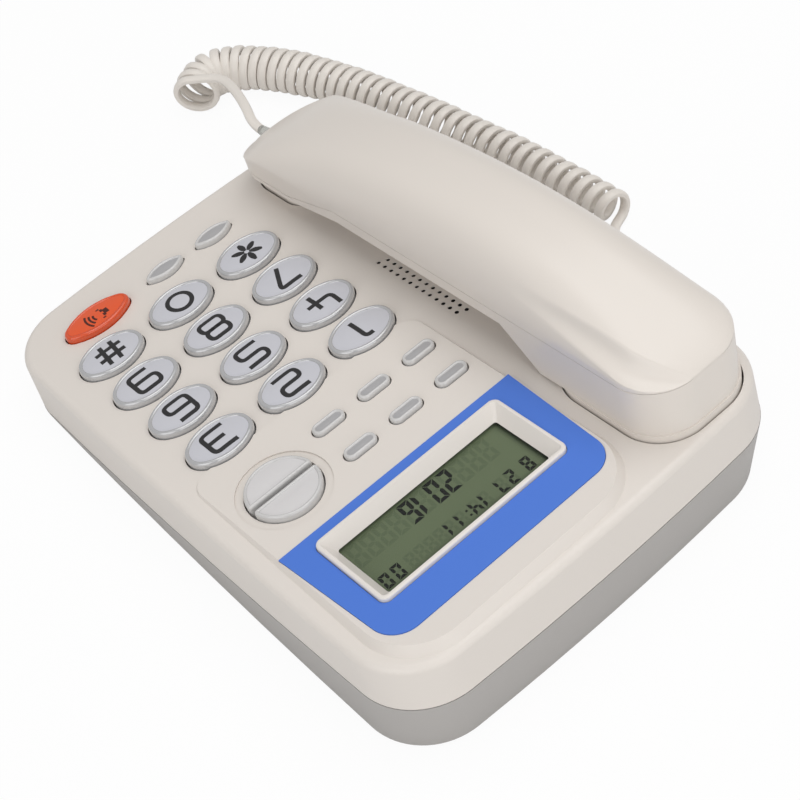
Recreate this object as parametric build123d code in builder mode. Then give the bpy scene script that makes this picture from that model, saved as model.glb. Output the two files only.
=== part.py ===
"""Corded desk telephone: wedge housing with keys and display, lift-off handset and curly cord.

Frame: +X to the user's right, +Y away from the user, +Z up, origin on the table under the middle of the housing.
The deck is the face that carries the keys. It is raised at the display end. Deck places are given as
u (to the right), v (away from the user) and w (out of the deck).
"""
from build123d import *
import math
import os

os.makedirs("parts", exist_ok=True)

# ---------------------------------------------------------------- driving dimensions, millimetres and degrees
BODY_W = 147.0          # housing width
BODY_L = 211.5          # housing length along the deck
TILT = 6.5              # rise of the deck towards the display end
DECK_H = 31.0           # height of the deck's middle above the table
FOOT_H = 1.2            # underside of the housing above the table
WALL = 2.2              # housing wall
ROOF = 2.4              # housing top wall
CORNER_R = 22.0         # housing corners in plan
END_BOW = 2.6           # how far the two ends bow out
SIDE_BOW = 0.6          # how far the sides bow out
USER_TAPER = 3.2        # how much each side draws in towards the user
WALL_DRAFT = 2.0        # lean of the upper housing's walls
SEAM_W = -19.5          # joint between the two housings
SEAM_GAP = 0.3          # shadow line at the joint
DECK_TOP = -0.6         # deck surface round the keys
DECK_FALL = 2.6         # drop of the shoulders at the display end
SHOULDER_R = 2.5        # rounding of the deck's edge
GREY_BACK_IN = 0.20     # lean of the lower housing's rear wall, per mm
GREY_LEFT_IN = 0.12     # lean of its left wall, per mm
LIP_H = 1.6             # register lip of the lower housing
LIP_T = 1.2
LIP_ROOT = 2.5          # thickened rim under the lip
FIT = 0.2               # clearance between pieces that stay put

PLATEAU_TOP = 0.0       # raised display panel
PLATEAU_RISE = 3.4      # full height of its sloped edge
PLATEAU_SLOPE = 35.0
PLATEAU_FRONT = -2.6    # v of the front edge at its foot
PLATEAU_BACK = 102.2    # v of the rear edge at its foot
PLATEAU_LEFT = -23.0    # u of the left edge at its foot
PLATEAU_RIGHT = 68.2    # u of the right edge at its foot
PLATEAU_REAR_R = 20.0
PLATEAU_NEAR_R = 9.0

SCREEN_U = 22.1         # middle of the display
BLUE_FRONT_W = 87.6     # display surround, wide edge
BLUE_BACK_W = 82.4      # display surround, narrow edge
BLUE_FRONT = 44.0
BLUE_BACK = 91.6
BLUE_CORNER = 9.0
BLUE_T = 0.9
BLUE_PROUD = 0.25
BEZEL_W = 69.2
BEZEL_L = 31.4
BEZEL_V = 63.9          # middle of the bezel
BEZEL_R = 2.6
BEZEL_TOP = 1.6
BEZEL_RIM = 1.3         # flat rim round the bezel's slopes
BEZEL_FLANGE = 2.4
BEZEL_FLANGE_T = 1.3
WINDOW_W = 60.2
WINDOW_L = 22.8
WINDOW_R = 1.0
WINDOW_TOP = -2.5
WINDOW_T = 1.2
WINDOW_LEDGE = 1.8      # how far window and cell reach under the bezel
CELL_T = 2.6
BOARD_T = 1.6
SCREEN_BOARD_W = 86.0
SCREEN_BOARD_L = 39.0

KEYPAD_U = 21.35        # middle of the twelve number keys
KEYPAD_V = -36.2
PITCH_U = 28.0
PITCH_V = 19.82
OVAL_A = 11.6           # half axes of a number key
OVAL_B = 8.25
OVAL_TIP = 1.1          # radius of an oval's narrow ends, as a multiple of the same ellipse's
KEY_GAP = 0.4           # between a key and its hole
KEY_TRAVEL = 1.2
KEY_RISE = 1.8          # key tops above the deck reference
KEY_CROWN = 1.4
FLANGE = 1.2            # key flange under the deck, past the key's side
FLANGE_T = 1.2
FLANGE_GAP = 0.4        # under the roof, at rest
MAT_GAP = 0.4           # between a fully pressed key and the mat
MAT_T = 1.2
DOME_H = 1.2
DOME_R = 3.2
SMALL_ROW_V = -84.6     # row of the two lens keys and the orange key
LENS_U = (-5.6, 14.7)
LENS_LONG = 15.6
LENS_WIDE = 6.6
ORANGE_U = 42.5
ORANGE_A = 12.4
ORANGE_B = 6.1
CAPSULE_U = (-11.4, 6.5, 24.2)
CAPSULE_V = (15.2, 30.2)
CAPSULE_LONG = 11.4
CAPSULE_WIDE = 4.8
SMALL_RISE = 1.5
SMALL_CROWN = 0.9
ROUND_U = 48.7          # split round up and down key
ROUND_V = 24.4
ROUND_R = 11.8
ROUND_SPLIT = 1.4
DISH_R = 14.8
DISH_DEPTH = 0.5
BOARD_LEFT = -17.0      # main board
BOARD_RIGHT = 66.5
BOARD_FRONT = -93.5
BOARD_BACK = 42.5
BOARD_R = 8.0
BOARD_RIM = 6.5         # bare rim of the board outside the mat
POST_R = 2.0
POST_IN = 3.6           # posts in from the board's edges
POST_NEAR_V = -56.0     # v of the right-hand near post

REST_U = -47.6          # middle line of the handset
WELL_W = 41.2           # ear well, across
WELL_FRONT = 50.4
WELL_BACK = 101.2
WELL_R = 15.5
WELL_DEPTH = 9.4
MOUTH_WELL_W = 32.6
MOUTH_FRONT = -97.6
MOUTH_BACK = -67.4
MOUTH_WELL_DEPTH = 6.4
MOUTH_WELL_R = 9.0
SEAT_GAP = 0.5          # round the handset in its wells
SEAT_LIFT = 0.3         # under the handset in its wells

HOLE_D = 1.4            # loudspeaker grille
HOLE_PITCH_U = 2.7
HOLE_PITCH_V = 3.15
GRILLE_U = -30.6
GRILLE_COLUMNS = 6
GRILLE_ROWS = 13
GRILLE_FRONT = -27.0
SPEAKER_U = -43.0
SPEAKER_V = -8.0
SPEAKER_R = 18.5
SPEAKER_T = 11.0
SPEAKER_RIM = 2.0
MAGNET_R = 9.0
MAGNET_T = 5.0

HAND_W = 40.0           # handset
HAND_USER = -100.0      # v of its mouth end
HAND_APEX_V = 18.0
HAND_APEX_W = 39.3
HAND_BEND_MOUTH = 304.0     # radius of its back from the apex to the mouth end
HAND_BEND_EAR = 176.0   # and to the ear end
HAND_SPANS = 8          # spans of its lofted back
CREASE_W = 17.0         # height where its flanks start to lean in
CREASE_DOWN = 3.5       # and how far under the back, where the back comes low
SHOULDER_OUT = 0.85     # place of its shoulders, as shares of its half width
SHOULDER_UP = 0.68      # and of the rise from the crease to the back
SHOULDER_BEND = 0.5     # their rounding, as a share of the same rise
END_BEND_MOUTH = 8.0    # rounding between its back and its mouth end
END_BEND_EAR = 6.0      # and its ear end
HAND_DRAFT_UP = 5.0     # lean of its two ends above the joint
HAND_DRAFT_LOW = 1.5    # lean of the inner cover's sides
HAND_CORNER = 15.0
SCOOP_R = 22.8          # long hollows in the flanks of the handset's ear end: their curve across it
SCOOP_L = 62.0
SCOOP_END = (32.4, 95.0, 34.2)      # end of their axis: from the handset's middle line, v and w
SCOOP_LEAN = (-0.110, 1.0, -0.080)  # and its direction: they deepen towards the ear end
HAND_WALL = 2.2
GRIP_W = 12.0           # underside of the grip
ARCH_BACK = 37.0        # where the grip's underside turns down to the ear end
ARCH_FRONT = -40.0      # and to the mouth end
FOOT_SPREAD = 12.0      # how far the mouth foot widens upwards, degrees
FOOT_TOP = 7.5
PART_W = 16.5           # joint between the handset's two covers
PART_MOUTH_W = 9.5
PART_GAP = 0.2
EAR_HOLE_D = 2.0
EAR_RINGS = ((0.0, 1), (4.4, 6), (8.8, 12))
EAR_DISH_R = 14.5
EAR_DISH = 1.0
RECEIVER_R = 15.0
RECEIVER_T = 7.5
MIC_R = 4.9
MIC_T = 4.5
MIC_V = -77.5
MIC_HOLE_PITCH = 3.4
WEIGHT_L = 46.0
WEIGHT_W = 22.0
WEIGHT_T = 7.0
HAND_SCREW_V = 32.0

PLUNGER_V = 62.0        # hook plunger in the ear well
PLUNGER_W = 9.0
PLUNGER_L = 5.0
PLUNGER_UP = 3.0
PLUNGER_FLANGE = 1.6
PLUNGER_FLANGE_T = 1.5
SWITCH_W = 13.0
SWITCH_L = 9.0
SWITCH_T = 6.0
SWITCH_EAR = 6.0

SCREW_D = 3.0
SCREW_HEAD_D = 5.4
SCREW_HEAD_T = 2.0
SCREW_LOOSE = 0.05
SCREW_BITE = 7.0
BOSS_D = 7.0
TUBE_D = 9.0
TUBE_H = 6.2
SEAT_T = 2.0
SCREWS = (              # side, distance in from it, and y as a share of the housing's length
    (1, 13.5, -0.407), (-1, 50.5, -0.444), (-1, 11.5, -0.246),
    (-1, 11.5, 0.18), (-1, 54.5, 0.4585), (1, 10.0, 0.4255),
)
FEET = ((1, 21.5, -0.34), (-1, 21.5, -0.35), (-1, 23.5, 0.397), (1, 25.5, 0.378))
FOOT_D = 12.0
FOOT_SINK = 0.8
BALLAST_L = 70.0
BALLAST_W = 50.0
BALLAST_T = 3.0
BALLAST_AT = (20, 20)

PLUG_W = 7.7            # modular plug
PLUG_H = 6.4
PLUG_IN = 8.5           # depth in its jack
PLUG_PLAY = 0.08
PLUG_NECK = 3.0
RELIEF_D = 5.0
RELIEF_L = 7.0
JACK_SKIN = 1.4
JACK_BACK = 2.5
JACK_PROUD = 0.2
HAND_JACK_V = 22.0      # handset cord's jack in the housing's left wall
LINE_JACK_V = -32.0
JACK_AT_W = -11.0
LINE_W = 9.8
LINE_H = 7.6
HAND_END_JACK_W = 4.2   # height of the jack in the handset's mouth end

COIL_D = 13.0           # curly cord, outer diameter
CORD_D = 3.4            # its straight ends

# ---------------------------------------------------------------- frames
SIN = math.sin(math.radians(TILT))
COS = math.cos(math.radians(TILT))
LEAN = math.tan(math.radians(WALL_DRAFT))
EDGE_W = DECK_TOP - SHOULDER_R
REAR_Y = BODY_L / 2 * COS - SEAM_W * SIN
USER_Y = -(BODY_L / 2 - (EDGE_W - SEAM_W) * LEAN) * COS - EDGE_W * SIN
DECK_Y = -(REAR_Y + USER_Y) / 2
DECK = Plane(origin=(0, DECK_Y, DECK_H), x_dir=(1, 0, 0), z_dir=(0, -SIN, COS))
OUTWARD = Axis(DECK.origin, DECK.z_dir)
SIDE = Plane(origin=DECK.origin, x_dir=(0, COS, SIN), z_dir=(1, 0, 0))   # its sketches are drawn in (v, w)
REACH = BODY_L          # longer than any piece, for cuts that go right through
UNDER_W = -60.0         # below every piece, measured from the deck


def deck_at(w, u=0.0, v=0.0):
    """Plane parallel to the deck with its origin at u, v, w."""
    point = DECK.origin + DECK.x_dir * u + DECK.y_dir * v + DECK.z_dir * w
    return Plane(origin=point, x_dir=DECK.x_dir, z_dir=DECK.z_dir)


def level_w(v, z):
    """The w of height z above the table, at the place v."""
    return (z - DECK_H - v * SIN) / COS


def level_v(w, z):
    """The v where height z above the table lies at w."""
    return (z - DECK_H - w * COS) / SIN


def deck_w(v):
    """Height of the deck surface at v, away from its rounded edges."""
    return DECK_TOP - max(0.0, v) * DECK_FALL / (BODY_L / 2)


def over_deck(x, y, w):
    """Deck place (u, v) of the upright line through table place x, y where it passes w."""
    return (x, (y - DECK_Y + w * SIN) / COS)


def along_body(places):
    """Table places from a side of the housing, the distance in from it and a share of its length."""
    return [(side * (BODY_W / 2 - inward), share * BODY_L) for side, inward, share in places]


def save(part, name):
    """Label one finished piece and write its file."""
    part.label = name
    export_step(part, f"parts/{name}.step")


# ---------------------------------------------------------------- outlines
def body_outline(inset=0.0, back_in=0.0, left_in=0.0):
    """Bowed outline of the housing, drawn in by inset, and further at the rear and the left."""
    right = BODY_W / 2 - inset
    left = -right + left_in
    back = BODY_L / 2 - inset - back_in
    front = -BODY_L / 2 + inset
    rear_right = (right - SIDE_BOW, back - END_BOW)
    rear_left = (left + SIDE_BOW, back - END_BOW)
    user_right = (right - USER_TAPER, front + END_BOW)
    user_left = (left + USER_TAPER, front + END_BOW)
    with BuildSketch(Plane.XY) as outline:
        with BuildLine():
            ThreePointArc(rear_right, (0, back), rear_left)
            ThreePointArc(rear_left, (left, BODY_L / 12), user_left)
            ThreePointArc(user_left, (0, front), user_right)
            ThreePointArc(user_right, (right, BODY_L / 12), rear_right)
        make_face()
        fillet(outline.vertices(), radius=CORNER_R - inset)
    return outline.sketch


def upper_profile(drop, underside):
    """Side view of the upper housing: falling deck lowered by drop, closed by the underside's points."""
    with BuildSketch(Plane.XY) as profile:
        with BuildLine():
            Polyline(
                *underside,
                (REACH, deck_w(REACH) - drop),
                (0, DECK_TOP - drop),
                (-REACH, DECK_TOP - drop),
                close=True,
            )
        make_face()
    return profile.sketch


def blue_outline(grow=0.0):
    """Display surround: wide square corners towards the user, rounded ones at the rear."""
    front = BLUE_FRONT_W / 2 + grow
    back = BLUE_BACK_W / 2 + grow
    with BuildSketch(Plane.XY) as outline:
        with BuildLine():
            Polyline(
                (SCREEN_U - front, BLUE_FRONT - grow),
                (SCREEN_U + front, BLUE_FRONT - grow),
                (SCREEN_U + back, BLUE_BACK + grow),
                (SCREEN_U - back, BLUE_BACK + grow),
                close=True,
            )
        make_face()
        fillet(outline.vertices().group_by(Axis.Y)[-1], radius=BLUE_CORNER)
    return outline.sketch


def plateau_outline():
    """Foot of the raised display panel: rounder at the rear than at the front."""
    with BuildSketch(Plane.XY) as outline:
        with Locations(((PLATEAU_LEFT + PLATEAU_RIGHT) / 2, (PLATEAU_FRONT + PLATEAU_BACK) / 2)):
            Rectangle(PLATEAU_RIGHT - PLATEAU_LEFT, PLATEAU_BACK - PLATEAU_FRONT)
        fillet(outline.vertices().group_by(Axis.Y)[-1], radius=PLATEAU_REAR_R)
        fillet(outline.vertices().group_by(Axis.Y)[0], radius=PLATEAU_NEAR_R)
    return outline.sketch


def ear_well(grow=0.0):
    """Outline of the well for the handset's ear end."""
    with BuildSketch(Plane.XY) as outline:
        with Locations((REST_U, (WELL_FRONT + WELL_BACK) / 2)):
            RectangleRounded(WELL_W + 2 * grow, WELL_BACK - WELL_FRONT + 2 * grow, WELL_R + grow)
    return outline.sketch


def mouth_well(grow=0.0):
    """Outline of the well for the handset's mouth end."""
    with BuildSketch(Plane.XY) as outline:
        with Locations((REST_U, (MOUTH_FRONT + MOUTH_BACK) / 2)):
            RectangleRounded(MOUTH_WELL_W + 2 * grow, MOUTH_BACK - MOUTH_FRONT + 2 * grow, MOUTH_WELL_R + grow)
    return outline.sketch


def oval(half_long, half_wide):
    """Oval key outline of four tangent arcs: two wide ones that meet in points, and two that round the points."""
    tip = OVAL_TIP * half_wide**2 / half_long
    wide = (half_long**2 + half_wide**2 - 2 * half_long * tip) / (2 * (half_wide - tip))
    reach = math.sqrt(wide**2 - (wide - half_wide) ** 2)
    with BuildSketch(Plane.XY) as outline:
        with BuildLine():
            ThreePointArc((-reach, 0), (0, -half_wide), (reach, 0))
            ThreePointArc((reach, 0), (0, half_wide), (-reach, 0))
        make_face()
        fillet(outline.vertices(), radius=tip)
    return outline.sketch


def lens(grow=0.0):
    """Pointed oval of two arcs, its tips rounded."""
    half = LENS_LONG / 2 + grow
    side = LENS_WIDE / 2 + grow
    with BuildSketch(Plane.XY) as outline:
        with BuildLine():
            ThreePointArc((-half, 0), (0, -side), (half, 0))
            ThreePointArc((half, 0), (0, side), (-half, 0))
        make_face()
        fillet(outline.vertices(), radius=SMALL_CROWN + FIT)
    return outline.sketch


def capsule(grow=0.0):
    """Slot-shaped key outline."""
    with BuildSketch(Plane.XY) as outline:
        SlotOverall(CAPSULE_LONG + 2 * grow, CAPSULE_WIDE + 2 * grow)
    return outline.sketch


def half_round(side, grow=0.0):
    """Half of the split round key; side is 1 for the half away from the user and -1 for the near one."""
    reach = ROUND_R + grow
    with BuildSketch(Plane.XY) as outline:
        Circle(reach)
        with Locations((0, side * (ROUND_SPLIT / 2 + reach))):
            Rectangle(2 * reach, 2 * reach, mode=Mode.INTERSECT)
        fillet(outline.vertices(), radius=SMALL_CROWN + FIT)
    return outline.sketch


def round_hole(grow=0.0):
    """Hole that both halves of the round key share."""
    with BuildSketch(Plane.XY) as outline:
        Circle(ROUND_R + grow)
    return outline.sketch


OUTLINES = {
    "number": lambda grow: oval(OVAL_A + grow, OVAL_B + grow),
    "orange": lambda grow: oval(ORANGE_A + grow, ORANGE_B + grow),
    "lens": lens,
    "capsule": capsule,
    "down": lambda grow: half_round(-1, grow),
    "up": lambda grow: half_round(1, grow),
    "round": round_hole,
}

# ---------------------------------------------------------------- keys: name, outline, place, rise, crown
KEYS = []
for row, names in enumerate((("1", "2", "3"), ("4", "5", "6"), ("7", "8", "9"), ("star", "0", "hash"))):
    for column, name in enumerate(names):
        place = (KEYPAD_U + (column - 1) * PITCH_U, KEYPAD_V + (1.5 - row) * PITCH_V)
        KEYS.append((f"key_{name}", "number", place, KEY_RISE, KEY_CROWN))
for name, u in zip(("left", "right"), LENS_U):
    KEYS.append((f"key_lens_{name}", "lens", (u, SMALL_ROW_V), SMALL_RISE, SMALL_CROWN))
KEYS.append(("key_handsfree", "orange", (ORANGE_U, SMALL_ROW_V), KEY_RISE, KEY_CROWN))
for row, v in enumerate(CAPSULE_V):
    for column, u in enumerate(CAPSULE_U):
        number = row * len(CAPSULE_U) + column + 1
        KEYS.append((f"key_small_{number}", "capsule", (u, v), SMALL_RISE, SMALL_CROWN))
KEYS.append(("key_down", "down", (ROUND_U, ROUND_V), KEY_RISE, SMALL_CROWN))
KEYS.append(("key_up", "up", (ROUND_U, ROUND_V), KEY_RISE, SMALL_CROWN))

HOLES = [(shape, place) for _, shape, place, _, _ in KEYS if shape not in ("up", "down")]
HOLES.append(("round", (ROUND_U, ROUND_V)))
DOMES = [place for _, shape, place, _, _ in KEYS if shape not in ("up", "down")]
DOMES.append((ROUND_U, ROUND_V - ROUND_R / 2))
DOMES.append((ROUND_U, ROUND_V + ROUND_R / 2))

FARTHEST_KEY = max(v for _, (_, v) in HOLES) + ROUND_R
FLANGE_LOW = deck_w(FARTHEST_KEY) - ROOF - FLANGE_GAP - FLANGE_T
MAT_TOP = FLANGE_LOW - KEY_TRAVEL - MAT_GAP
BOARD_TOP = MAT_TOP - DOME_H - MAT_T


def build_key(shape, place, rise, crown):
    """One key: a crowned cap that passes through the deck and a wider flange under it."""
    u, v = place
    with BuildPart() as key:
        with BuildSketch(deck_at(FLANGE_LOW, u, v)):
            add(OUTLINES[shape](FLANGE))
        extrude(amount=FLANGE_T)
        with BuildSketch(deck_at(FLANGE_LOW, u, v)):
            add(OUTLINES[shape](0.0))
        extrude(amount=rise - FLANGE_LOW)
        fillet(key.faces().sort_by(OUTWARD)[-1].edges(), radius=crown)
    return key.part


for name, shape, place, rise, crown in KEYS:
    save(build_key(shape, place, rise, crown), name)


# ---------------------------------------------------------------- housing forms
def upper_form(inset, drop, underside):
    """Outer form of the upper housing, or its hollow when drawn in and lowered."""
    start = SEAM_W - WALL
    with BuildPart() as form:
        with BuildSketch(deck_at(start)):
            add(body_outline(inset))
        extrude(amount=-start, taper=WALL_DRAFT)
        with BuildSketch(SIDE):
            add(upper_profile(drop, underside))
        extrude(amount=BODY_W, both=True, mode=Mode.INTERSECT)
    return form.part


def lower_form(inset, low_z):
    """Outer form of the lower housing, or its hollow: leaning walls down to height low_z."""
    depth = SEAM_W - UNDER_W
    with BuildPart() as form:
        with BuildSketch(deck_at(SEAM_W - SEAM_GAP)):
            add(body_outline(inset))
        with BuildSketch(deck_at(UNDER_W)):
            add(body_outline(inset, depth * GREY_BACK_IN, depth * GREY_LEFT_IN))
        loft(ruled=True)
        with BuildSketch(Plane.XY.offset(low_z)):
            Rectangle(2 * REACH, 2 * REACH)
        extrude(amount=2 * UNDER_W, mode=Mode.SUBTRACT)
    return form.part


def jack_box(width, height, grow=0.0):
    """Outline of a jack's housing round a socket of this width and height."""
    with BuildSketch(Plane.XY) as outline:
        Rectangle(width + 2 * (JACK_SKIN + grow), height + 2 * (JACK_SKIN + grow))
    return outline.sketch


def wall_plane(v):
    """Plane on the left wall's outside at v, facing out: sketch x runs along -v and sketch y along w."""
    u = -BODY_W / 2 + (JACK_AT_W - SEAM_W) * LEAN
    point = DECK.origin + DECK.x_dir * u + DECK.y_dir * v + DECK.z_dir * JACK_AT_W
    return Plane(origin=point, x_dir=-DECK.y_dir, z_dir=-DECK.x_dir)


JACK_L = PLUG_IN + JACK_BACK
WELL_FLOOR = deck_w(WELL_BACK) - WELL_DEPTH
MOUTH_FLOOR = DECK_TOP - MOUTH_WELL_DEPTH
BEZEL_FLANGE_TOP = deck_w(BEZEL_V + BEZEL_L / 2 + BEZEL_FLANGE) - ROOF - FIT
BEZEL_LOW = BEZEL_FLANGE_TOP - BEZEL_FLANGE_T
SCREEN_POSTS = (SCREEN_BOARD_W - 2 * POST_R - FIT, SCREEN_BOARD_L - 2 * POST_R - FIT)
MAIN_POSTS = (
    (BOARD_LEFT + POST_IN, BOARD_FRONT + POST_IN),
    (BOARD_RIGHT - POST_IN, POST_NEAR_V),
    (BOARD_LEFT + POST_IN, BOARD_BACK - POST_IN),
    (BOARD_RIGHT - POST_IN, BOARD_BACK - POST_IN),
)
BOSS_LOW = FOOT_H + TUBE_H
FLOOR_TOP = FOOT_H + WALL
PLUNGER_TOP = WELL_FLOOR - FIT
SWITCH_TOP = WELL_FLOOR - WALL - FIT - PLUNGER_UP - PLUNGER_FLANGE_T - FIT
OPEN_BELOW = ((-REACH, UNDER_W), (REACH, UNDER_W))
SEATED = ((-REACH, level_w(-REACH, FOOT_H)), (level_v(SEAM_W, FOOT_H), SEAM_W), (REACH, SEAM_W))

with BuildPart() as hollow:
    add(upper_form(WALL, ROOF, OPEN_BELOW))
    with BuildSketch(deck_at(WELL_FLOOR - WALL)):
        add(ear_well(WALL))
    extrude(amount=-UNDER_W, mode=Mode.SUBTRACT)
    with BuildSketch(deck_at(MOUTH_FLOOR - WALL)):
        add(mouth_well(WALL))
    extrude(amount=-UNDER_W, mode=Mode.SUBTRACT)
    with BuildSketch(Plane.XY.offset(BOSS_LOW)):
        with Locations(*along_body(SCREWS)):
            Circle(BOSS_D / 2)
    extrude(amount=-UNDER_W, mode=Mode.SUBTRACT)
    with BuildSketch(deck_at(BOARD_TOP)):
        with Locations(*MAIN_POSTS):
            Circle(POST_R)
    extrude(amount=-UNDER_W, mode=Mode.SUBTRACT)
    with BuildSketch(deck_at(BEZEL_LOW, SCREEN_U, BEZEL_V)):
        with GridLocations(*SCREEN_POSTS, 2, 2):
            Circle(POST_R)
    extrude(amount=-UNDER_W, mode=Mode.SUBTRACT)
    with BuildSketch(deck_at(SWITCH_TOP, REST_U, PLUNGER_V)):
        with GridLocations(SWITCH_W + SWITCH_EAR, 1, 2, 1):
            Circle(POST_R)
    extrude(amount=-UNDER_W / 2, mode=Mode.SUBTRACT)

with BuildPart() as top_shell:
    add(upper_form(0.0, 0.0, SEATED))
    fillet(
        top_shell.faces().filter_by(lambda face: face.normal_at().dot(DECK.z_dir) > COS).edges().filter_by(
            lambda edge: abs(edge.tangent_at(0.5).X) < 1 - FIT / REACH or abs(edge.center().Y) > BODY_L / 4
        ),
        radius=SHOULDER_R,
    )
    with BuildSketch(deck_at(PLATEAU_TOP - PLATEAU_RISE)):
        add(plateau_outline())
    extrude(amount=PLATEAU_RISE, taper=PLATEAU_SLOPE)
    add(hollow.part, mode=Mode.SUBTRACT)
    with BuildSketch(deck_at(WELL_FLOOR)):
        add(ear_well())
    extrude(amount=-UNDER_W, mode=Mode.SUBTRACT)
    with BuildSketch(deck_at(MOUTH_FLOOR)):
        add(mouth_well())
    extrude(amount=-UNDER_W, mode=Mode.SUBTRACT)
    with BuildSketch(deck_at(PLATEAU_TOP - DISH_DEPTH, ROUND_U, ROUND_V)):
        Circle(DISH_R)
    extrude(amount=-UNDER_W, mode=Mode.SUBTRACT)
    with BuildSketch(deck_at(PLATEAU_TOP + BLUE_PROUD - BLUE_T)):
        add(blue_outline(FIT / 2))
    extrude(amount=-UNDER_W, mode=Mode.SUBTRACT)
    with BuildSketch(deck_at(BEZEL_LOW, SCREEN_U, BEZEL_V)):
        RectangleRounded(BEZEL_W + 2 * FIT, BEZEL_L + 2 * FIT, BEZEL_R + FIT)
    extrude(amount=-UNDER_W, mode=Mode.SUBTRACT)
    for shape, (u, v) in HOLES:
        with BuildSketch(deck_at(FLANGE_LOW, u, v)):
            add(OUTLINES[shape](KEY_GAP))
        extrude(amount=-UNDER_W, mode=Mode.SUBTRACT)
    with BuildSketch(deck_at(MAT_TOP)):
        for column in range(GRILLE_COLUMNS):
            for row in range(GRILLE_ROWS):
                along = GRILLE_FRONT + (row + 0.5 * (column % 2)) * HOLE_PITCH_V
                with Locations((GRILLE_U - column * HOLE_PITCH_U, along)):
                    Circle(HOLE_D / 2)
    extrude(amount=-UNDER_W, mode=Mode.SUBTRACT)
    with BuildSketch(deck_at(SWITCH_TOP, REST_U, PLUNGER_V)):
        RectangleRounded(PLUNGER_W + 2 * KEY_GAP, PLUNGER_L + 2 * KEY_GAP, KEY_GAP + FIT)
    extrude(amount=-UNDER_W, mode=Mode.SUBTRACT)
    with BuildSketch(Plane.XY.offset(BOSS_LOW)):
        with Locations(*along_body(SCREWS)):
            Circle(SCREW_D / 2 + SCREW_LOOSE)
    extrude(amount=SCREW_BITE + FIT, mode=Mode.SUBTRACT)
    for v, width, height in ((HAND_JACK_V, PLUG_W, PLUG_H), (LINE_JACK_V, LINE_W, LINE_H)):
        with BuildSketch(wall_plane(v)):
            add(jack_box(width, height, FIT))
        extrude(amount=WALL * 2, both=True, mode=Mode.SUBTRACT)
save(top_shell.part, "top_shell")

with BuildPart() as bottom_shell:
    add(lower_form(0.0, FOOT_H))
    add(lower_form(WALL, FLOOR_TOP), mode=Mode.SUBTRACT)
    with BuildSketch(deck_at(SEAM_W - SEAM_GAP - LIP_ROOT)):
        add(body_outline(WALL / 2))
        add(body_outline(WALL + FIT + LIP_T), mode=Mode.SUBTRACT)
    extrude(amount=LIP_ROOT)
    with BuildSketch(deck_at(SEAM_W - SEAM_GAP - LIP_ROOT)):
        add(body_outline(WALL + FIT + FIT))
        add(body_outline(WALL + FIT + LIP_T), mode=Mode.SUBTRACT)
    extrude(amount=LIP_ROOT + SEAM_GAP + LIP_H)
    with BuildSketch(Plane.XY.offset(FOOT_H)):
        with Locations((0, DECK_Y - SEAM_W * SIN)):
            add(body_outline(WALL + LIP_T))
    extrude(amount=WALL)
    with BuildSketch(deck_at(SEAM_W + LIP_H)):
        Rectangle(2 * REACH, 2 * REACH)
    extrude(amount=-UNDER_W, mode=Mode.SUBTRACT)
    with BuildSketch(Plane.XY.offset(FOOT_H)):
        with Locations(*along_body(SCREWS)):
            Circle(TUBE_D / 2)
    extrude(amount=TUBE_H)
    with BuildSketch(Plane.XY.offset(FOOT_H)):
        Rectangle(2 * REACH, 2 * REACH)
    extrude(amount=UNDER_W, mode=Mode.SUBTRACT)
    with BuildSketch(Plane.XY.offset(FOOT_H)):
        with Locations(*along_body(SCREWS)):
            Circle(SCREW_HEAD_D / 2 + FIT)
    extrude(amount=TUBE_H - SEAT_T, mode=Mode.SUBTRACT)
    with BuildSketch(Plane.XY.offset(FOOT_H)):
        with Locations(*along_body(SCREWS)):
            Circle(SCREW_D / 2 + FIT)
    extrude(amount=TUBE_H, mode=Mode.SUBTRACT)
    with BuildSketch(Plane.XY.offset(FOOT_H)):
        with Locations(*along_body(FEET)):
            Circle(FOOT_D / 2 + FIT)
    extrude(amount=FOOT_SINK, mode=Mode.SUBTRACT)
save(bottom_shell.part, "bottom_shell")

with BuildPart() as screws:
    with BuildSketch(Plane.XY.offset(FOOT_H + TUBE_H - SEAT_T)):
        with Locations(*along_body(SCREWS)):
            Circle(SCREW_HEAD_D / 2)
    extrude(amount=-SCREW_HEAD_T)
    with BuildSketch(Plane.XY.offset(FOOT_H + TUBE_H - SEAT_T)):
        with Locations(*along_body(SCREWS)):
            Circle(SCREW_D / 2)
    extrude(amount=SEAT_T + SCREW_BITE)
save(screws.part, "housing_screws")

with BuildPart() as feet:
    with BuildSketch(Plane.XY):
        with Locations(*along_body(FEET)):
            Circle(FOOT_D / 2)
    extrude(amount=FOOT_H + FOOT_SINK)
save(feet.part, "rubber_feet")

with BuildPart() as ballast:
    with BuildSketch(Plane.XY.offset(FLOOR_TOP)):
        with Locations(BALLAST_AT):
            RectangleRounded(BALLAST_L, BALLAST_W, BALLAST_T)
    extrude(amount=BALLAST_T)
save(ballast.part, "ballast_plate")

# ---------------------------------------------------------------- display
WINDOW_POCKET = (WINDOW_W + 2 * WINDOW_LEDGE, WINDOW_L + 2 * WINDOW_LEDGE)

with BuildPart() as surround:
    with BuildSketch(deck_at(PLATEAU_TOP + BLUE_PROUD - BLUE_T)):
        add(blue_outline())
        with Locations((SCREEN_U, BEZEL_V)):
            RectangleRounded(BEZEL_W + 2 * FIT, BEZEL_L + 2 * FIT, BEZEL_R + FIT, mode=Mode.SUBTRACT)
    extrude(amount=BLUE_T)
save(surround.part, "display_surround")

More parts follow.
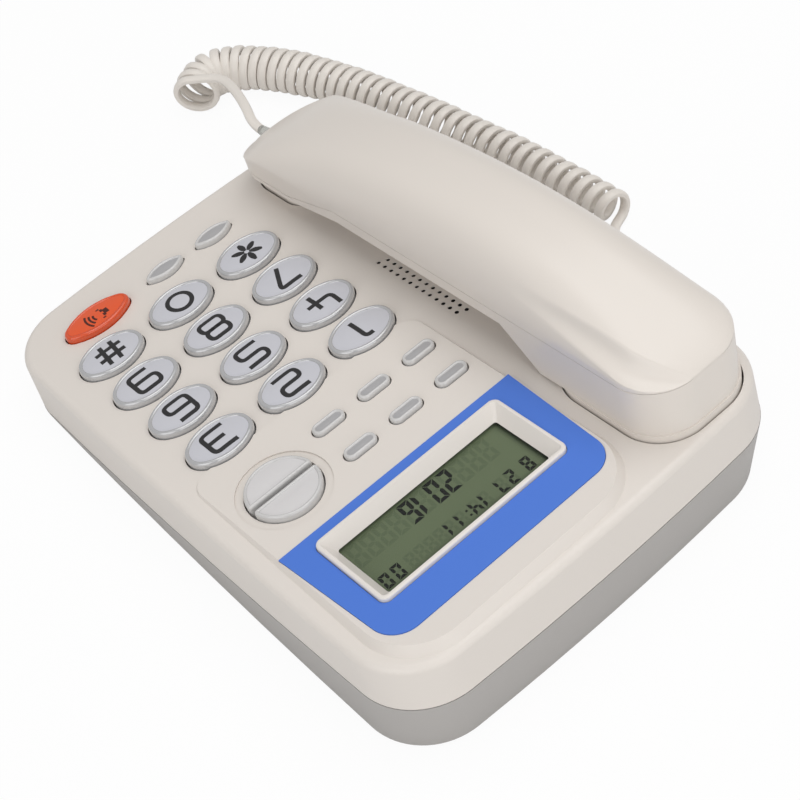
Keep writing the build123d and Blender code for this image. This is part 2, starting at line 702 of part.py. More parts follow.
with BuildPart() as bezel:
    with BuildSketch(deck_at(BEZEL_LOW, SCREEN_U, BEZEL_V)):
        RectangleRounded(BEZEL_W, BEZEL_L, BEZEL_R)
    extrude(amount=BEZEL_TOP - BEZEL_LOW)
    fillet(bezel.faces().sort_by(OUTWARD)[-1].edges(), radius=BEZEL_RIM / 2)
    with BuildSketch(deck_at(BEZEL_LOW, SCREEN_U, BEZEL_V)):
        RectangleRounded(BEZEL_W + 2 * BEZEL_FLANGE, BEZEL_L + 2 * BEZEL_FLANGE, BEZEL_R)
    extrude(amount=BEZEL_FLANGE_T)
    with BuildSketch(deck_at(WINDOW_TOP, SCREEN_U, BEZEL_V)):
        RectangleRounded(WINDOW_W, WINDOW_L, WINDOW_R)
    with BuildSketch(deck_at(BEZEL_TOP, SCREEN_U, BEZEL_V)):
        RectangleRounded(BEZEL_W - 2 * BEZEL_RIM, BEZEL_L - 2 * BEZEL_RIM, BEZEL_R - BEZEL_RIM)
    loft(ruled=True, mode=Mode.SUBTRACT)
    with BuildSketch(deck_at(BEZEL_LOW, SCREEN_U, BEZEL_V)):
        Rectangle(WINDOW_POCKET[0] + 2 * FIT, WINDOW_POCKET[1] + 2 * FIT)
    extrude(amount=WINDOW_TOP - BEZEL_LOW, mode=Mode.SUBTRACT)
save(bezel.part, "display_bezel")

with BuildPart() as window:
    with BuildSketch(deck_at(WINDOW_TOP, SCREEN_U, BEZEL_V)):
        Rectangle(*WINDOW_POCKET)
    extrude(amount=-WINDOW_T)
save(window.part, "display_window")

with BuildPart() as cell:
    with BuildSketch(deck_at(WINDOW_TOP - WINDOW_T, SCREEN_U, BEZEL_V)):
        Rectangle(*WINDOW_POCKET)
    extrude(amount=BEZEL_LOW - WINDOW_TOP + WINDOW_T)
save(cell.part, "display_cell")

with BuildPart() as screen_board:
    with BuildSketch(deck_at(BEZEL_LOW)):
        with Locations((SCREEN_U, BEZEL_V)):
            Rectangle(SCREEN_BOARD_W, SCREEN_BOARD_L)
        with Locations(*[over_deck(x, y, BEZEL_LOW) for x, y in along_body(SCREWS)]):
            Circle(BOSS_D / 2 + FIT * 4, mode=Mode.SUBTRACT)
    extrude(amount=-BOARD_T)
save(screen_board.part, "display_board")

# ---------------------------------------------------------------- keypad mat and main board
BOARD_MID = ((BOARD_LEFT + BOARD_RIGHT) / 2, (BOARD_FRONT + BOARD_BACK) / 2)
BOARD_SIZE = (BOARD_RIGHT - BOARD_LEFT, BOARD_BACK - BOARD_FRONT)
BOSSES = [over_deck(x, y, BOARD_TOP) for x, y in along_body(SCREWS)]

with BuildPart() as mat:
    with BuildSketch(deck_at(BOARD_TOP)):
        with Locations(BOARD_MID):
            RectangleRounded(BOARD_SIZE[0] - 2 * BOARD_RIM, BOARD_SIZE[1] - 2 * BOARD_RIM, BOARD_R)
        with Locations(*BOSSES):
            Circle(BOSS_D / 2 + FIT * 4, mode=Mode.SUBTRACT)
    extrude(amount=MAT_T)
    with BuildSketch(deck_at(BOARD_TOP + MAT_T)):
        with Locations(*DOMES):
            Circle(DOME_R)
    extrude(amount=DOME_H, taper=PLATEAU_SLOPE)
save(mat.part, "keypad_mat")

with BuildPart() as main_board:
    with BuildSketch(deck_at(BOARD_TOP)):
        with Locations(BOARD_MID):
            RectangleRounded(*BOARD_SIZE, BOARD_R)
        with Locations(*BOSSES):
            Circle(BOSS_D / 2 + FIT * 4, mode=Mode.SUBTRACT)
    extrude(amount=-BOARD_T)
save(main_board.part, "main_board")

# ---------------------------------------------------------------- loudspeaker and hook switch
SPEAKER_TOP = deck_w(SPEAKER_V + SPEAKER_R) - ROOF

with BuildPart() as speaker:
    with BuildSketch(deck_at(SPEAKER_TOP, SPEAKER_U, SPEAKER_V)):
        Circle(SPEAKER_R)
    extrude(amount=-SPEAKER_RIM)
    with BuildSketch(deck_at(SPEAKER_TOP - SPEAKER_RIM, SPEAKER_U, SPEAKER_V)):
        Circle(SPEAKER_R - SPEAKER_RIM)
    with BuildSketch(deck_at(SPEAKER_TOP - SPEAKER_T + MAGNET_T, SPEAKER_U, SPEAKER_V)):
        Circle(MAGNET_R)
    loft()
    with BuildSketch(deck_at(SPEAKER_TOP - SPEAKER_T + MAGNET_T, SPEAKER_U, SPEAKER_V)):
        Circle(MAGNET_R)
    extrude(amount=-MAGNET_T)
    with BuildSketch(deck_at(SPEAKER_TOP, SPEAKER_U, SPEAKER_V)):
        Circle(SPEAKER_R - SPEAKER_RIM)
    with BuildSketch(deck_at(SPEAKER_TOP - SPEAKER_T + MAGNET_T, SPEAKER_U, SPEAKER_V)):
        Circle(MAGNET_R / 2)
    loft(mode=Mode.SUBTRACT)
save(speaker.part, "loudspeaker")

with BuildPart() as plunger:
    with BuildSketch(deck_at(PLUNGER_TOP, REST_U, PLUNGER_V)):
        RectangleRounded(PLUNGER_W, PLUNGER_L, KEY_GAP)
    extrude(amount=SWITCH_TOP + FIT - PLUNGER_TOP)
    with BuildSketch(deck_at(SWITCH_TOP + FIT, REST_U, PLUNGER_V)):
        Rectangle(PLUNGER_W + 2 * PLUNGER_FLANGE, PLUNGER_L + 2 * PLUNGER_FLANGE)
    extrude(amount=PLUNGER_FLANGE_T)
save(plunger.part, "hook_plunger")

with BuildPart() as switch:
    with BuildSketch(deck_at(SWITCH_TOP, REST_U, PLUNGER_V)):
        Rectangle(SWITCH_W + 2 * SWITCH_EAR, POST_R * 2 + FIT)
    extrude(amount=-SEAT_T)
    with BuildSketch(deck_at(SWITCH_TOP, REST_U, PLUNGER_V)):
        Rectangle(SWITCH_W, SWITCH_L)
    extrude(amount=-SWITCH_T)
save(switch.part, "hook_switch")


# ---------------------------------------------------------------- jacks and plugs
def build_jack(plane, width, height):
    """A jack whose face stands just proud of plane, with a socket of this width and height."""
    with BuildPart() as jack:
        with BuildSketch(plane.offset(JACK_PROUD)):
            add(jack_box(width, height))
        extrude(amount=-JACK_PROUD - JACK_L)
        with BuildSketch(plane.offset(JACK_PROUD)):
            Rectangle(width, height)
        extrude(amount=-JACK_PROUD - PLUG_IN, mode=Mode.SUBTRACT)
    return jack.part


def build_plug(plane):
    """A plug pushed home in its jack, with a neck and a tapered relief where the cord enters."""
    with BuildPart() as plug:
        with BuildSketch(plane.offset(PLUG_PLAY - PLUG_IN)):
            Rectangle(PLUG_W - 2 * PLUG_PLAY, PLUG_H - 2 * PLUG_PLAY)
        extrude(amount=PLUG_IN + PLUG_NECK)
        with BuildSketch(plane.offset(PLUG_NECK)):
            Circle(RELIEF_D / 2)
        with BuildSketch(plane.offset(PLUG_NECK + RELIEF_L)):
            Circle(CORD_D / 2)
        loft()
    return plug.part


HAND_END = Plane(
    origin=DECK.origin + DECK.x_dir * REST_U + DECK.y_dir * HAND_USER + DECK.z_dir * HAND_END_JACK_W,
    x_dir=DECK.x_dir,
    z_dir=-DECK.y_dir,
)
save(build_jack(wall_plane(HAND_JACK_V), PLUG_W, PLUG_H), "handset_cord_jack")
save(build_jack(wall_plane(LINE_JACK_V), LINE_W, LINE_H), "line_jack")
save(build_plug(wall_plane(HAND_JACK_V)), "plug_base")


# ---------------------------------------------------------------- handset
HAND_EAR = WELL_BACK - SEAT_GAP
EAR_FRONT = WELL_FRONT + SEAT_GAP
EAR_LOW = WELL_FLOOR + SEAT_LIFT
MOUTH_LOW = MOUTH_FLOOR + SEAT_LIFT
MOUTH_MID = (MOUTH_FRONT + MOUTH_BACK) / 2
MOUTH_IN = SEAT_GAP + MOUTH_WELL_DEPTH * math.tan(math.radians(FOOT_SPREAD))
MOUTH_FOOT = (MOUTH_WELL_W - 2 * MOUTH_IN, MOUTH_BACK - MOUTH_FRONT - 2 * MOUTH_IN, MOUTH_WELL_R - MOUTH_IN)
EAR_MID = (HAND_EAR + EAR_FRONT) / 2
EAR_IN = SEAT_GAP + WELL_DEPTH * math.tan(math.radians(HAND_DRAFT_LOW))
EAR_FOOT = (WELL_W - 2 * EAR_IN, WELL_BACK - WELL_FRONT - 2 * EAR_IN, WELL_R - EAR_IN)


def hand_top(v):
    """Height of the handset's back at v: one arc towards each end, level where they meet at the apex."""
    run = v - HAND_APEX_V
    bend = HAND_BEND_EAR if run > 0 else HAND_BEND_MOUTH
    return HAND_APEX_W - bend + math.sqrt(bend**2 - run**2)


def end_bend(end_v, radius, inset):
    """Rounding in the side view, tangent to an end at end_v and to the back: its low, middle and high points."""
    run = end_v - HAND_APEX_V
    inward = -math.copysign(1, run)
    fall = math.asin(run / (HAND_BEND_EAR if run > 0 else HAND_BEND_MOUTH))
    centre_v = end_v + inward * radius
    centre_w = hand_top(end_v) - inward * radius * math.tan(fall) - radius / math.cos(fall)
    points = []
    for angle in (math.pi / 2, (math.pi / 2 + abs(fall)) / 2, abs(fall)):
        reach = radius - inset
        points.append((centre_v - inward * reach * math.sin(angle), centre_w + reach * math.cos(angle)))
    return points


def hand_ends(inset):
    """Side view that rounds the handset's back into its two ends, open above and below."""
    mouth = end_bend(HAND_USER, END_BEND_MOUTH, inset)
    ear = end_bend(HAND_EAR, END_BEND_EAR, inset)
    with BuildSketch(Plane.XY) as profile:
        with BuildLine():
            ThreePointArc(*mouth)
            Polyline(mouth[-1], (mouth[-1][0], REACH), (ear[-1][0], REACH), ear[-1])
            ThreePointArc(*reversed(ear))
            Polyline(ear[0], (ear[0][0], -REACH), (mouth[0][0], -REACH), mouth[0])
        make_face()
    return profile.sketch


def hand_side(inset):
    """Side view of the handset without its mouth foot, left open above its back, drawn in by inset."""
    with BuildSketch(Plane.XY) as profile:
        with BuildLine():
            Polyline(
                (HAND_USER, REACH),
                (HAND_USER, FOOT_TOP),
                (MOUTH_BACK, FOOT_TOP),
                (ARCH_FRONT, GRIP_W),
                (ARCH_BACK, GRIP_W),
                (EAR_FRONT, DECK_TOP),
                (HAND_EAR, DECK_TOP),
                (HAND_EAR, REACH),
                close=True,
            )
        make_face()
        if inset:
            offset(amount=-inset, kind=Kind.INTERSECTION, mode=Mode.REPLACE)
    return profile.sketch


def hand_plan(inset):
    """Plan view of the handset."""
    with BuildSketch(Plane.XY) as outline:
        with Locations((REST_U, (HAND_EAR + HAND_USER) / 2)):
            RectangleRounded(HAND_W - 2 * inset, HAND_EAR - HAND_USER - 2 * inset, HAND_CORNER - inset)
    return outline.sketch


def hand_section(v, inset):
    """Section across the handset at v: flanks that lean in to a shoulder, and a gently arched back."""
    top = hand_top(v) - inset
    crease = min(CREASE_W, hand_top(v) - CREASE_DOWN)
    rise = top - crease
    half = HAND_W / 2 - inset
    shoulder = (SHOULDER_OUT * half, crease + SHOULDER_UP * rise)
    with BuildSketch(Plane.XY) as section:
        with BuildLine():
            Polyline(
                (-shoulder[0], shoulder[1]),
                (-half, crease),
                (-half, -HAND_APEX_W),
                (half, -HAND_APEX_W),
                (half, crease),
                shoulder,
            )
            ThreePointArc(shoulder, (0, top), (-shoulder[0], shoulder[1]))
        make_face()
        fillet(section.vertices().group_by(Axis.Y)[-1], radius=SHOULDER_BEND * rise)
    return section.sketch


def hand_block(inset):
    """Lofted back and flanks of the handset, longer than it at both ends."""
    first = HAND_USER - WALL
    step = (HAND_EAR + WALL - first) / HAND_SPANS
    with BuildPart() as block:
        for station in range(HAND_SPANS + 1):
            v = first + station * step
            with BuildSketch(Plane(deck_at(0, REST_U, v).origin, x_dir=DECK.x_dir, z_dir=-DECK.y_dir)):
                add(hand_section(v, inset))
        loft()
    return block.part


def hand_form(inset=0.0):
    """The handset's whole form, or its hollow when drawn in."""
    with BuildPart() as form:
        with BuildSketch(deck_at(PART_W)):
            add(hand_plan(inset))
        extrude(amount=HAND_APEX_W, taper=HAND_DRAFT_UP)
        with BuildSketch(deck_at(PART_W)):
            add(hand_plan(inset))
        extrude(amount=-HAND_APEX_W, taper=HAND_DRAFT_LOW)
        with BuildSketch(SIDE):
            add(hand_side(inset))
        extrude(amount=BODY_W, both=True, mode=Mode.INTERSECT)
        with BuildSketch(SIDE):
            add(hand_ends(inset))
        extrude(amount=BODY_W, both=True, mode=Mode.INTERSECT)
        add(hand_block(inset), mode=Mode.INTERSECT)
        for low, mid, (wide, long, corner), top, spread in (
            (MOUTH_LOW, MOUTH_MID, MOUTH_FOOT, FOOT_TOP, FOOT_SPREAD),
            (EAR_LOW, EAR_MID, EAR_FOOT, DECK_TOP, HAND_DRAFT_LOW),
        ):
            with BuildSketch(deck_at(low + inset, REST_U, mid)):
                RectangleRounded(wide - 2 * inset, long - 2 * inset, corner - inset)
            extrude(amount=top - low + inset / 2, taper=-spread)
        add(flank_scoops(inset), mode=Mode.SUBTRACT)
    return form.part


def flank_scoops(grow):
    """Pair of leaning rods that hollow the flanks of the handset's ear end, thickened by grow."""
    with BuildPart() as rods:
        for side in (1, -1):
            end = deck_at(SCOOP_END[2], REST_U + side * SCOOP_END[0], SCOOP_END[1]).origin
            along = DECK.x_dir * side * SCOOP_LEAN[0] + DECK.y_dir * SCOOP_LEAN[1] + DECK.z_dir * SCOOP_LEAN[2]
            with BuildSketch(Plane(origin=end, z_dir=along).offset(grow)):
                Circle(SCOOP_R + grow)
            extrude(amount=-SCOOP_L)
    return rods.part


def below_joint(drop):
    """Region of the inner cover: under the handset's broken joint line, lowered by drop."""
    with BuildPart() as region:
        with BuildSketch(SIDE):
            with BuildLine():
                Polyline(
                    (-REACH, UNDER_W),
                    (REACH, UNDER_W),
                    (REACH, PART_W - drop),
                    (ARCH_FRONT, PART_W - drop),
                    (MOUTH_BACK, PART_MOUTH_W - drop),
                    (-REACH, PART_MOUTH_W - drop),
                    close=True,
                )
            make_face()
        extrude(amount=BODY_W, both=True)
    return region.part


def jack_pocket(plane, width, height, grow):
    """Solid that clears a jack's housing on this plane."""
    with BuildPart() as pocket:
        with BuildSketch(plane.offset(JACK_L)):
            add(jack_box(width, height, grow))
        extrude(amount=-2 * JACK_L)
    return pocket.part


EAR_FLOOR = EAR_LOW + HAND_WALL
MOUTH_INSIDE = MOUTH_LOW + HAND_WALL
GRIP_INSIDE = GRIP_W + HAND_WALL
hand_outer = hand_form()
end_pocket = jack_pocket(HAND_END, PLUG_W, PLUG_H, FIT)
HAND_SCREWS = ((REST_U, -HAND_SCREW_V), (REST_U, HAND_SCREW_V))

with BuildPart() as hand_hollow:
    add(hand_form(HAND_WALL))
    with BuildSketch(deck_at(GRIP_W)):
        with Locations(*HAND_SCREWS):
            Circle(BOSS_D / 2)
    extrude(amount=HAND_APEX_W, mode=Mode.SUBTRACT)

with BuildPart() as outer_cover:
    add(hand_outer)
    add(below_joint(0.0), mode=Mode.SUBTRACT)
    add(hand_hollow.part, mode=Mode.SUBTRACT)
    with BuildSketch(deck_at(PART_W)):
        with Locations(*HAND_SCREWS):
            Circle(SCREW_D / 2 + SCREW_LOOSE)
    extrude(amount=SCREW_BITE + FIT, mode=Mode.SUBTRACT)
    add(end_pocket, mode=Mode.SUBTRACT)
save(outer_cover.part, "handset_outer_cover")

with BuildPart() as inner_cover:
    add(hand_outer)
    add(below_joint(PART_GAP), mode=Mode.INTERSECT)
    add(hand_hollow.part, mode=Mode.SUBTRACT)
    with BuildSketch(deck_at(EAR_LOW, REST_U, EAR_MID)):
        Circle(EAR_DISH_R)
    extrude(amount=EAR_DISH, mode=Mode.SUBTRACT)
    with BuildSketch(deck_at(EAR_LOW, REST_U, EAR_MID)):
        for radius, count in EAR_RINGS:
            with PolarLocations(radius, count):
                Circle(EAR_HOLE_D / 2)
    extrude(amount=HAND_WALL + FIT, mode=Mode.SUBTRACT)
    with BuildSketch(deck_at(MOUTH_LOW, REST_U, MIC_V)):
        with GridLocations(MIC_HOLE_PITCH, 1, 3, 1):
            Circle(EAR_HOLE_D / 2)
    extrude(amount=HAND_WALL + FIT, mode=Mode.SUBTRACT)
    with BuildSketch(deck_at(GRIP_W)):
        with Locations(*HAND_SCREWS):
            Circle(SCREW_HEAD_D / 2 + FIT)
    extrude(amount=HAND_WALL / 2, mode=Mode.SUBTRACT)
    with BuildSketch(deck_at(GRIP_W)):
        with Locations(*HAND_SCREWS):
            Circle(SCREW_D / 2 + FIT)
    extrude(amount=PART_W - GRIP_W, mode=Mode.SUBTRACT)
    add(end_pocket, mode=Mode.SUBTRACT)
save(inner_cover.part, "handset_inner_cover")

with BuildPart() as hand_screws:
    with BuildSketch(deck_at(GRIP_W + HAND_WALL / 2)):
        with Locations(*HAND_SCREWS):
            Circle(SCREW_HEAD_D / 2)
    extrude(amount=FIT - HAND_WALL / 2)
    with BuildSketch(deck_at(GRIP_W + HAND_WALL / 2)):
        with Locations(*HAND_SCREWS):
            Circle(SCREW_D / 2)
    extrude(amount=PART_W - GRIP_W - HAND_WALL / 2 + SCREW_BITE)
save(hand_screws.part, "handset_screws")

with BuildPart() as receiver:
    with BuildSketch(deck_at(EAR_FLOOR, REST_U, EAR_MID)):
        Circle(RECEIVER_R)
    extrude(amount=RECEIVER_T / 2)
    with BuildSketch(deck_at(EAR_FLOOR + RECEIVER_T / 2, REST_U, EAR_MID)):
        Circle(RECEIVER_R * 0.6)
    extrude(amount=RECEIVER_T / 2)
save(receiver.part, "receiver")

with BuildPart() as microphone:
    with BuildSketch(deck_at(MOUTH_INSIDE, REST_U, MIC_V)):
        Circle(MIC_R)
    extrude(amount=MIC_T)
save(microphone.part, "microphone")

with BuildPart() as weight:
    with BuildSketch(deck_at(GRIP_INSIDE, REST_U, 0)):
        RectangleRounded(WEIGHT_W, WEIGHT_L, HAND_WALL)
    extrude(amount=WEIGHT_T)
save(weight.part, "handset_weight")
save(build_jack(HAND_END, PLUG_W, PLUG_H), "handset_jack")
save(build_plug(HAND_END), "plug_handset")

# ---------------------------------------------------------------- cord
RUN_SHARE = 0.45        # part of the shorter run that an arc takes
COIL_Z = COIL_D / 2 + FIT
COIL_ROUTE = (
    (-52, -165), (-66, -157), (-78, -145), (-88, -126), (-94, -104),
    (-98.5, -82), (-102.5, -60), (-106, -38), (-108, -16), (-109, 0),
)
STRAIGHT = 8.0          # straight length at each end of the two tails
HAND_TAIL = ((-48.5, -131, 18.5), (-52.5, -141, 14), (-57, -150, 11.2), (-60.5, -158.5, 10.5))
BASE_TAIL = ((-99, 22, 19.5), (-106, 18.5, 13))


def build_cord(points, diameter, name):
    """Round tube along straight runs joined by the largest tangent arcs they leave room for."""
    places = [Vector(*point) for point in points]
    radii = []
    for before, here, after in zip(places, places[1:], places[2:]):
        turn = math.radians((here - before).get_angle(after - here))
        shorter = min((here - before).length, (after - here).length)
        radii.append(RUN_SHARE * shorter / math.tan(turn / 2))
    with BuildPart() as cord:
        with BuildLine() as route:
            FilletPolyline(*places, radius=radii)
        path = route.wires()[0]
        with BuildSketch(Plane(origin=path @ 0, z_dir=path % 0)):
            Circle(diameter / 2)
        sweep()
    share = cord.part.volume / (math.pi * diameter * diameter / 4 * path.length)
    print(name, "length", round(path.length, 1), "volume share", round(share, 4))
    print(name, "radii in diameters", [round(radius / diameter, 1) for radius in radii])
    save(cord.part, name)


def in_frame(points):
    """Places along the cord, with the deck's middle where it stands."""
    return [Vector(x, y + DECK_Y, z) for x, y, z in points]


base_plane = wall_plane(HAND_JACK_V)
coil = in_frame([(x, y, COIL_Z) for x, y in COIL_ROUTE])
hand_exit = HAND_END.origin + HAND_END.z_dir * (PLUG_NECK + RELIEF_L)
base_exit = base_plane.origin + base_plane.z_dir * (PLUG_NECK + RELIEF_L)
hand_straight = hand_exit + HAND_END.z_dir * STRAIGHT
base_straight = base_exit + base_plane.z_dir * STRAIGHT
coil_straight = coil[-1] + (coil[-1] - coil[-2]).normalized() * STRAIGHT
build_cord(coil, COIL_D, "cord_coil")
build_cord([hand_exit, hand_straight] + in_frame(HAND_TAIL), CORD_D, "cord_handset_tail")
build_cord(
    [base_exit, base_straight] + in_frame(BASE_TAIL) + [coil_straight, coil[-1]],
    CORD_D,
    "cord_base_tail",
)
print("cord leaves", hand_exit, base_exit, "deck middle", DECK_Y)
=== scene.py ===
"""Looks of a corded desk telephone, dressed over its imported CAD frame.

Every length is in metres in the frame of the CAD model: +X to the user's right, +Y away from the user, +Z up.
Places on the tilted deck are given in millimetres as u (right), v (away from the user) and w (out of it).
"""
import logging
import math
from dataclasses import dataclass, field
from enum import Enum
from typing import Dict, List, Optional, Sequence, Tuple, Union

import bmesh
import bpy
import numpy as np
from mathutils import Matrix, Vector


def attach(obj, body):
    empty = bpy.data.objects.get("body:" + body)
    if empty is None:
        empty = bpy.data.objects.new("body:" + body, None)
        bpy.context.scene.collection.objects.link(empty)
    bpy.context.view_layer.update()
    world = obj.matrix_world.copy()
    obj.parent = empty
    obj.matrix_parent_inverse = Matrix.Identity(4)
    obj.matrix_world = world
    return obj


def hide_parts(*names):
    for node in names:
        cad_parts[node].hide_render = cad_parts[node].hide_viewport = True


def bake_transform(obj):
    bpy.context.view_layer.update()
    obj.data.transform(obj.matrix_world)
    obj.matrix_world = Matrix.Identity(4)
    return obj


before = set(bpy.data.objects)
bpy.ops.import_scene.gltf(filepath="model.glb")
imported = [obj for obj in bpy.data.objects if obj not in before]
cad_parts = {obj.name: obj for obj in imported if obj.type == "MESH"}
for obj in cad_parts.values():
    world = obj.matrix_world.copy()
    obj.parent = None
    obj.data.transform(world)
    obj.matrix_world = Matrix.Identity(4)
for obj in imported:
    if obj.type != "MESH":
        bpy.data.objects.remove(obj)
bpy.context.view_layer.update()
LOG = logging.getLogger("telephone")
MM = 0.001
MERGE = 1e-6
Colour = Tuple[float, float, float]
Place = Tuple[float, float, float]
Spot = Tuple[float, float]


# ------------------------------------------------------------------ lines and frames
@dataclass(frozen=True)
class Deck:
    """The tilted face of the housing that carries the keys.

    Attributes:
        tilt: Rise towards the display end, degrees.
        height: Height of its middle above the table, mm.
        middle_y: Place of its middle along the table, mm.
    """

    tilt: float = 6.5
    height: float = 31.0
    middle_y: float = -1.5637

    def points(self, uvw: np.ndarray) -> np.ndarray:
        """Turns deck places into the shared frame: v and w turn by the tilt, then move to the deck's middle.

        Args:
            uvw: Array of shape (..., 3), mm.

        Returns:
            Array of the same shape, metres.
        """
        sin, cos = math.sin(math.radians(self.tilt)), math.cos(math.radians(self.tilt))
        u, v, w = np.moveaxis(np.asarray(uvw, dtype=float), -1, 0)
        return np.stack([u, v * cos - w * sin + self.middle_y, v * sin + w * cos + self.height], axis=-1) * MM


DECK = Deck()


def smooth_step(x: np.ndarray, low: float, high: float) -> np.ndarray:
    """Rises smoothly from 0 at low to 1 at high, as three times the square of the share less twice its cube.

    Args:
        x: Values to map.
        low: Start of the rise.
        high: End of the rise.

    Returns:
        Values from 0 to 1.
    """
    share = np.clip((x - low) / (high - low), 0.0, 1.0)
    return share * share * (3 - 2 * share)


def unit(vectors: np.ndarray) -> np.ndarray:
    """Divides vectors along the last axis by their lengths."""
    return vectors / np.linalg.norm(vectors, axis=-1, keepdims=True)


def run_length(line: np.ndarray) -> float:
    """Adds up the steps of a line."""
    return float(np.linalg.norm(np.diff(line, axis=0), axis=1).sum())


def even_points(line: np.ndarray, count: int) -> np.ndarray:
    """Spaces points evenly along a line by the length run so far.

    Args:
        line: Points of the line, shape (n, 2) or (n, 3).
        count: Number of points wanted.

    Returns:
        Evenly spaced points.
    """
    along = np.concatenate([[0.0], np.cumsum(np.linalg.norm(np.diff(line, axis=0), axis=1))])
    want = np.linspace(0, along[-1], count)
    return np.stack([np.interp(want, along, column) for column in line.T], axis=1)


def arc_points(radius: float, angles: np.ndarray, middle: Spot = (0.0, 0.0)) -> np.ndarray:
    """Places points on a circle.

    Args:
        radius: Its radius, mm.
        angles: Angle of each point, radians.
        middle: Its middle, mm.

    Returns:
        Points, shape (n, 2), mm.
    """
    return middle + radius * np.stack([np.cos(angles), np.sin(angles)], axis=1)


# ------------------------------------------------------------------ meshes
# Edge angles in degrees above which shading breaks: on thin plates, on most pieces and on rounded keys.
THIN_EDGE, PLAIN_EDGE, ROUND_EDGE = 30.0, 40.0, 50.0


def settle(mesh: bpy.types.Mesh, sharp: float, outward: bool) -> None:
    """Merges doubled points and shades the mesh smooth up to its sharp edges.

    Args:
        mesh: Mesh to settle.
        sharp: Edge angle in degrees above which shading breaks.
        outward: Whether the faces are turned to point outward.
    """
    shell = bmesh.new()
    shell.from_mesh(mesh)
    bmesh.ops.remove_doubles(shell, verts=shell.verts, dist=MERGE)
    if outward:
        bmesh.ops.recalc_face_normals(shell, faces=shell.faces)
    for face in shell.faces:
        face.smooth = True
    for edge in shell.edges:
        edge.smooth = not (len(edge.link_faces) == 2 and edge.calc_face_angle(0.0) > math.radians(sharp))
    shell.to_mesh(mesh)
    shell.free()


def tube_faces(rings: int, count: int, base: int, capped: bool) -> List[List[int]]:
    """Lists a tube's faces: each quad is a point, the next on its ring, and the same two on the next ring.

    Args:
        rings: Number of rings.
        count: Points in each ring.
        base: Number of the first point.
        capped: Whether the first and the last ring are closed by a face.

    Returns:
        Faces as vertex numbers.
    """
    here = np.arange(count)
    ahead = (here + 1) % count
    ring = base + np.arange(rings - 1)[:, None] * count
    quads = np.stack([ring + here, ring + ahead, ring + ahead + count, ring + here + count], axis=-1)
    faces = quads.reshape(-1, 4).tolist()
    if capped:
        last = base + (rings - 1) * count
        faces += [list(range(base, base + count))[::-1], list(range(last, last + count))]
    return faces


def add_tubes(name: str, tubes: Sequence[np.ndarray], body: Optional[str],
              sharp: float = PLAIN_EDGE) -> bpy.types.Object:
    """Makes one piece from tubes, each a stack of rings, and lets it ride on a body.

    A tube has a face at both ends, unless its last ring lies on its first.

    Args:
        name: Piece name.
        tubes: Places of each tube's rings in metres, shape (rings, points, 3).
        body: Body that carries the piece; none for a piece on no body, such as the cord.
        sharp: Edge angle in degrees above which shading breaks.

    Returns:
        The new piece.
    """
    faces: List[List[int]] = []
    base = 0
    for tube in tubes:
        rings, count = tube.shape[:2]
        faces += tube_faces(rings, count, base, capped=np.abs(tube[0] - tube[-1]).max() > MERGE)
        base += rings * count
    mesh = bpy.data.meshes.new(name)
    mesh.from_pydata(np.concatenate([tube.reshape(-1, 3) for tube in tubes]).tolist(), [], faces)
    mesh.validate()
    settle(mesh, sharp, outward=True)
    piece = bpy.data.objects.new(name, mesh)
    bpy.context.scene.collection.objects.link(piece)
    if body:
        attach(piece, body)
    LOG.info("%s: %d faces", name, len(mesh.polygons))
    return piece


def polish_copy(node: str, body: str, sharp: float = 32.0) -> bpy.types.Object:
    """Copies a CAD node's mesh into a new piece with merged points and soft shading.

    Args:
        node: CAD node to stand for.
        body: Body that carries it.
        sharp: Edge angle in degrees above which shading breaks.

    Returns:
        The new piece.
    """
    name = node + "_look"
    piece = bpy.data.objects.new(name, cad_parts[node].data.copy())
    piece.data.name = name
    piece.data.materials.clear()
    bpy.context.scene.collection.objects.link(piece)
    settle(piece.data, sharp, outward=False)
    even = piece.modifiers.new("EvenNormals", "WEIGHTED_NORMAL")
    even.keep_sharp = True
    even.weight = 90
    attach(piece, body)
    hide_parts(node)
    LOG.info("%s: %d faces", name, len(piece.data.polygons))
    return piece


# ------------------------------------------------------------------ finishes
MOTTLE_RATE = 24.0  # waves of the slow mottle in a metre
ROUGHNESS_SWING = 0.03


def feed(tree: bpy.types.NodeTree, node: bpy.types.Node, feeds: Dict[Union[str, int], object]) -> None:
    """Sets or links the inputs of a node.

    Args:
        tree: Node tree that holds the node.
        node: Node to feed.
        feeds: For each input, by name or number, its value or the output that feeds it.
    """
    for label, value in feeds.items():
        if isinstance(value, bpy.types.NodeSocket):
            tree.links.new(value, node.inputs[label])
        else:
            node.inputs[label].default_value = value


def add_node(tree: bpy.types.NodeTree, kind: str, feeds: Optional[Dict[Union[str, int], object]] = None,
             **settings: object) -> bpy.types.bpy_prop_collection:
    """Adds a node, sets its properties and feeds its inputs.

    Args:
        tree: Node tree that gets the node.
        kind: Node type.
        feeds: For each input, by name or number, its value or the output that feeds it.
        **settings: Properties of the node.

    Returns:
        The node's outputs.
    """
    node = tree.nodes.new(kind)
    for label, value in settings.items():
        setattr(node, label, value)
    feed(tree, node, feeds or {})
    return node.outputs


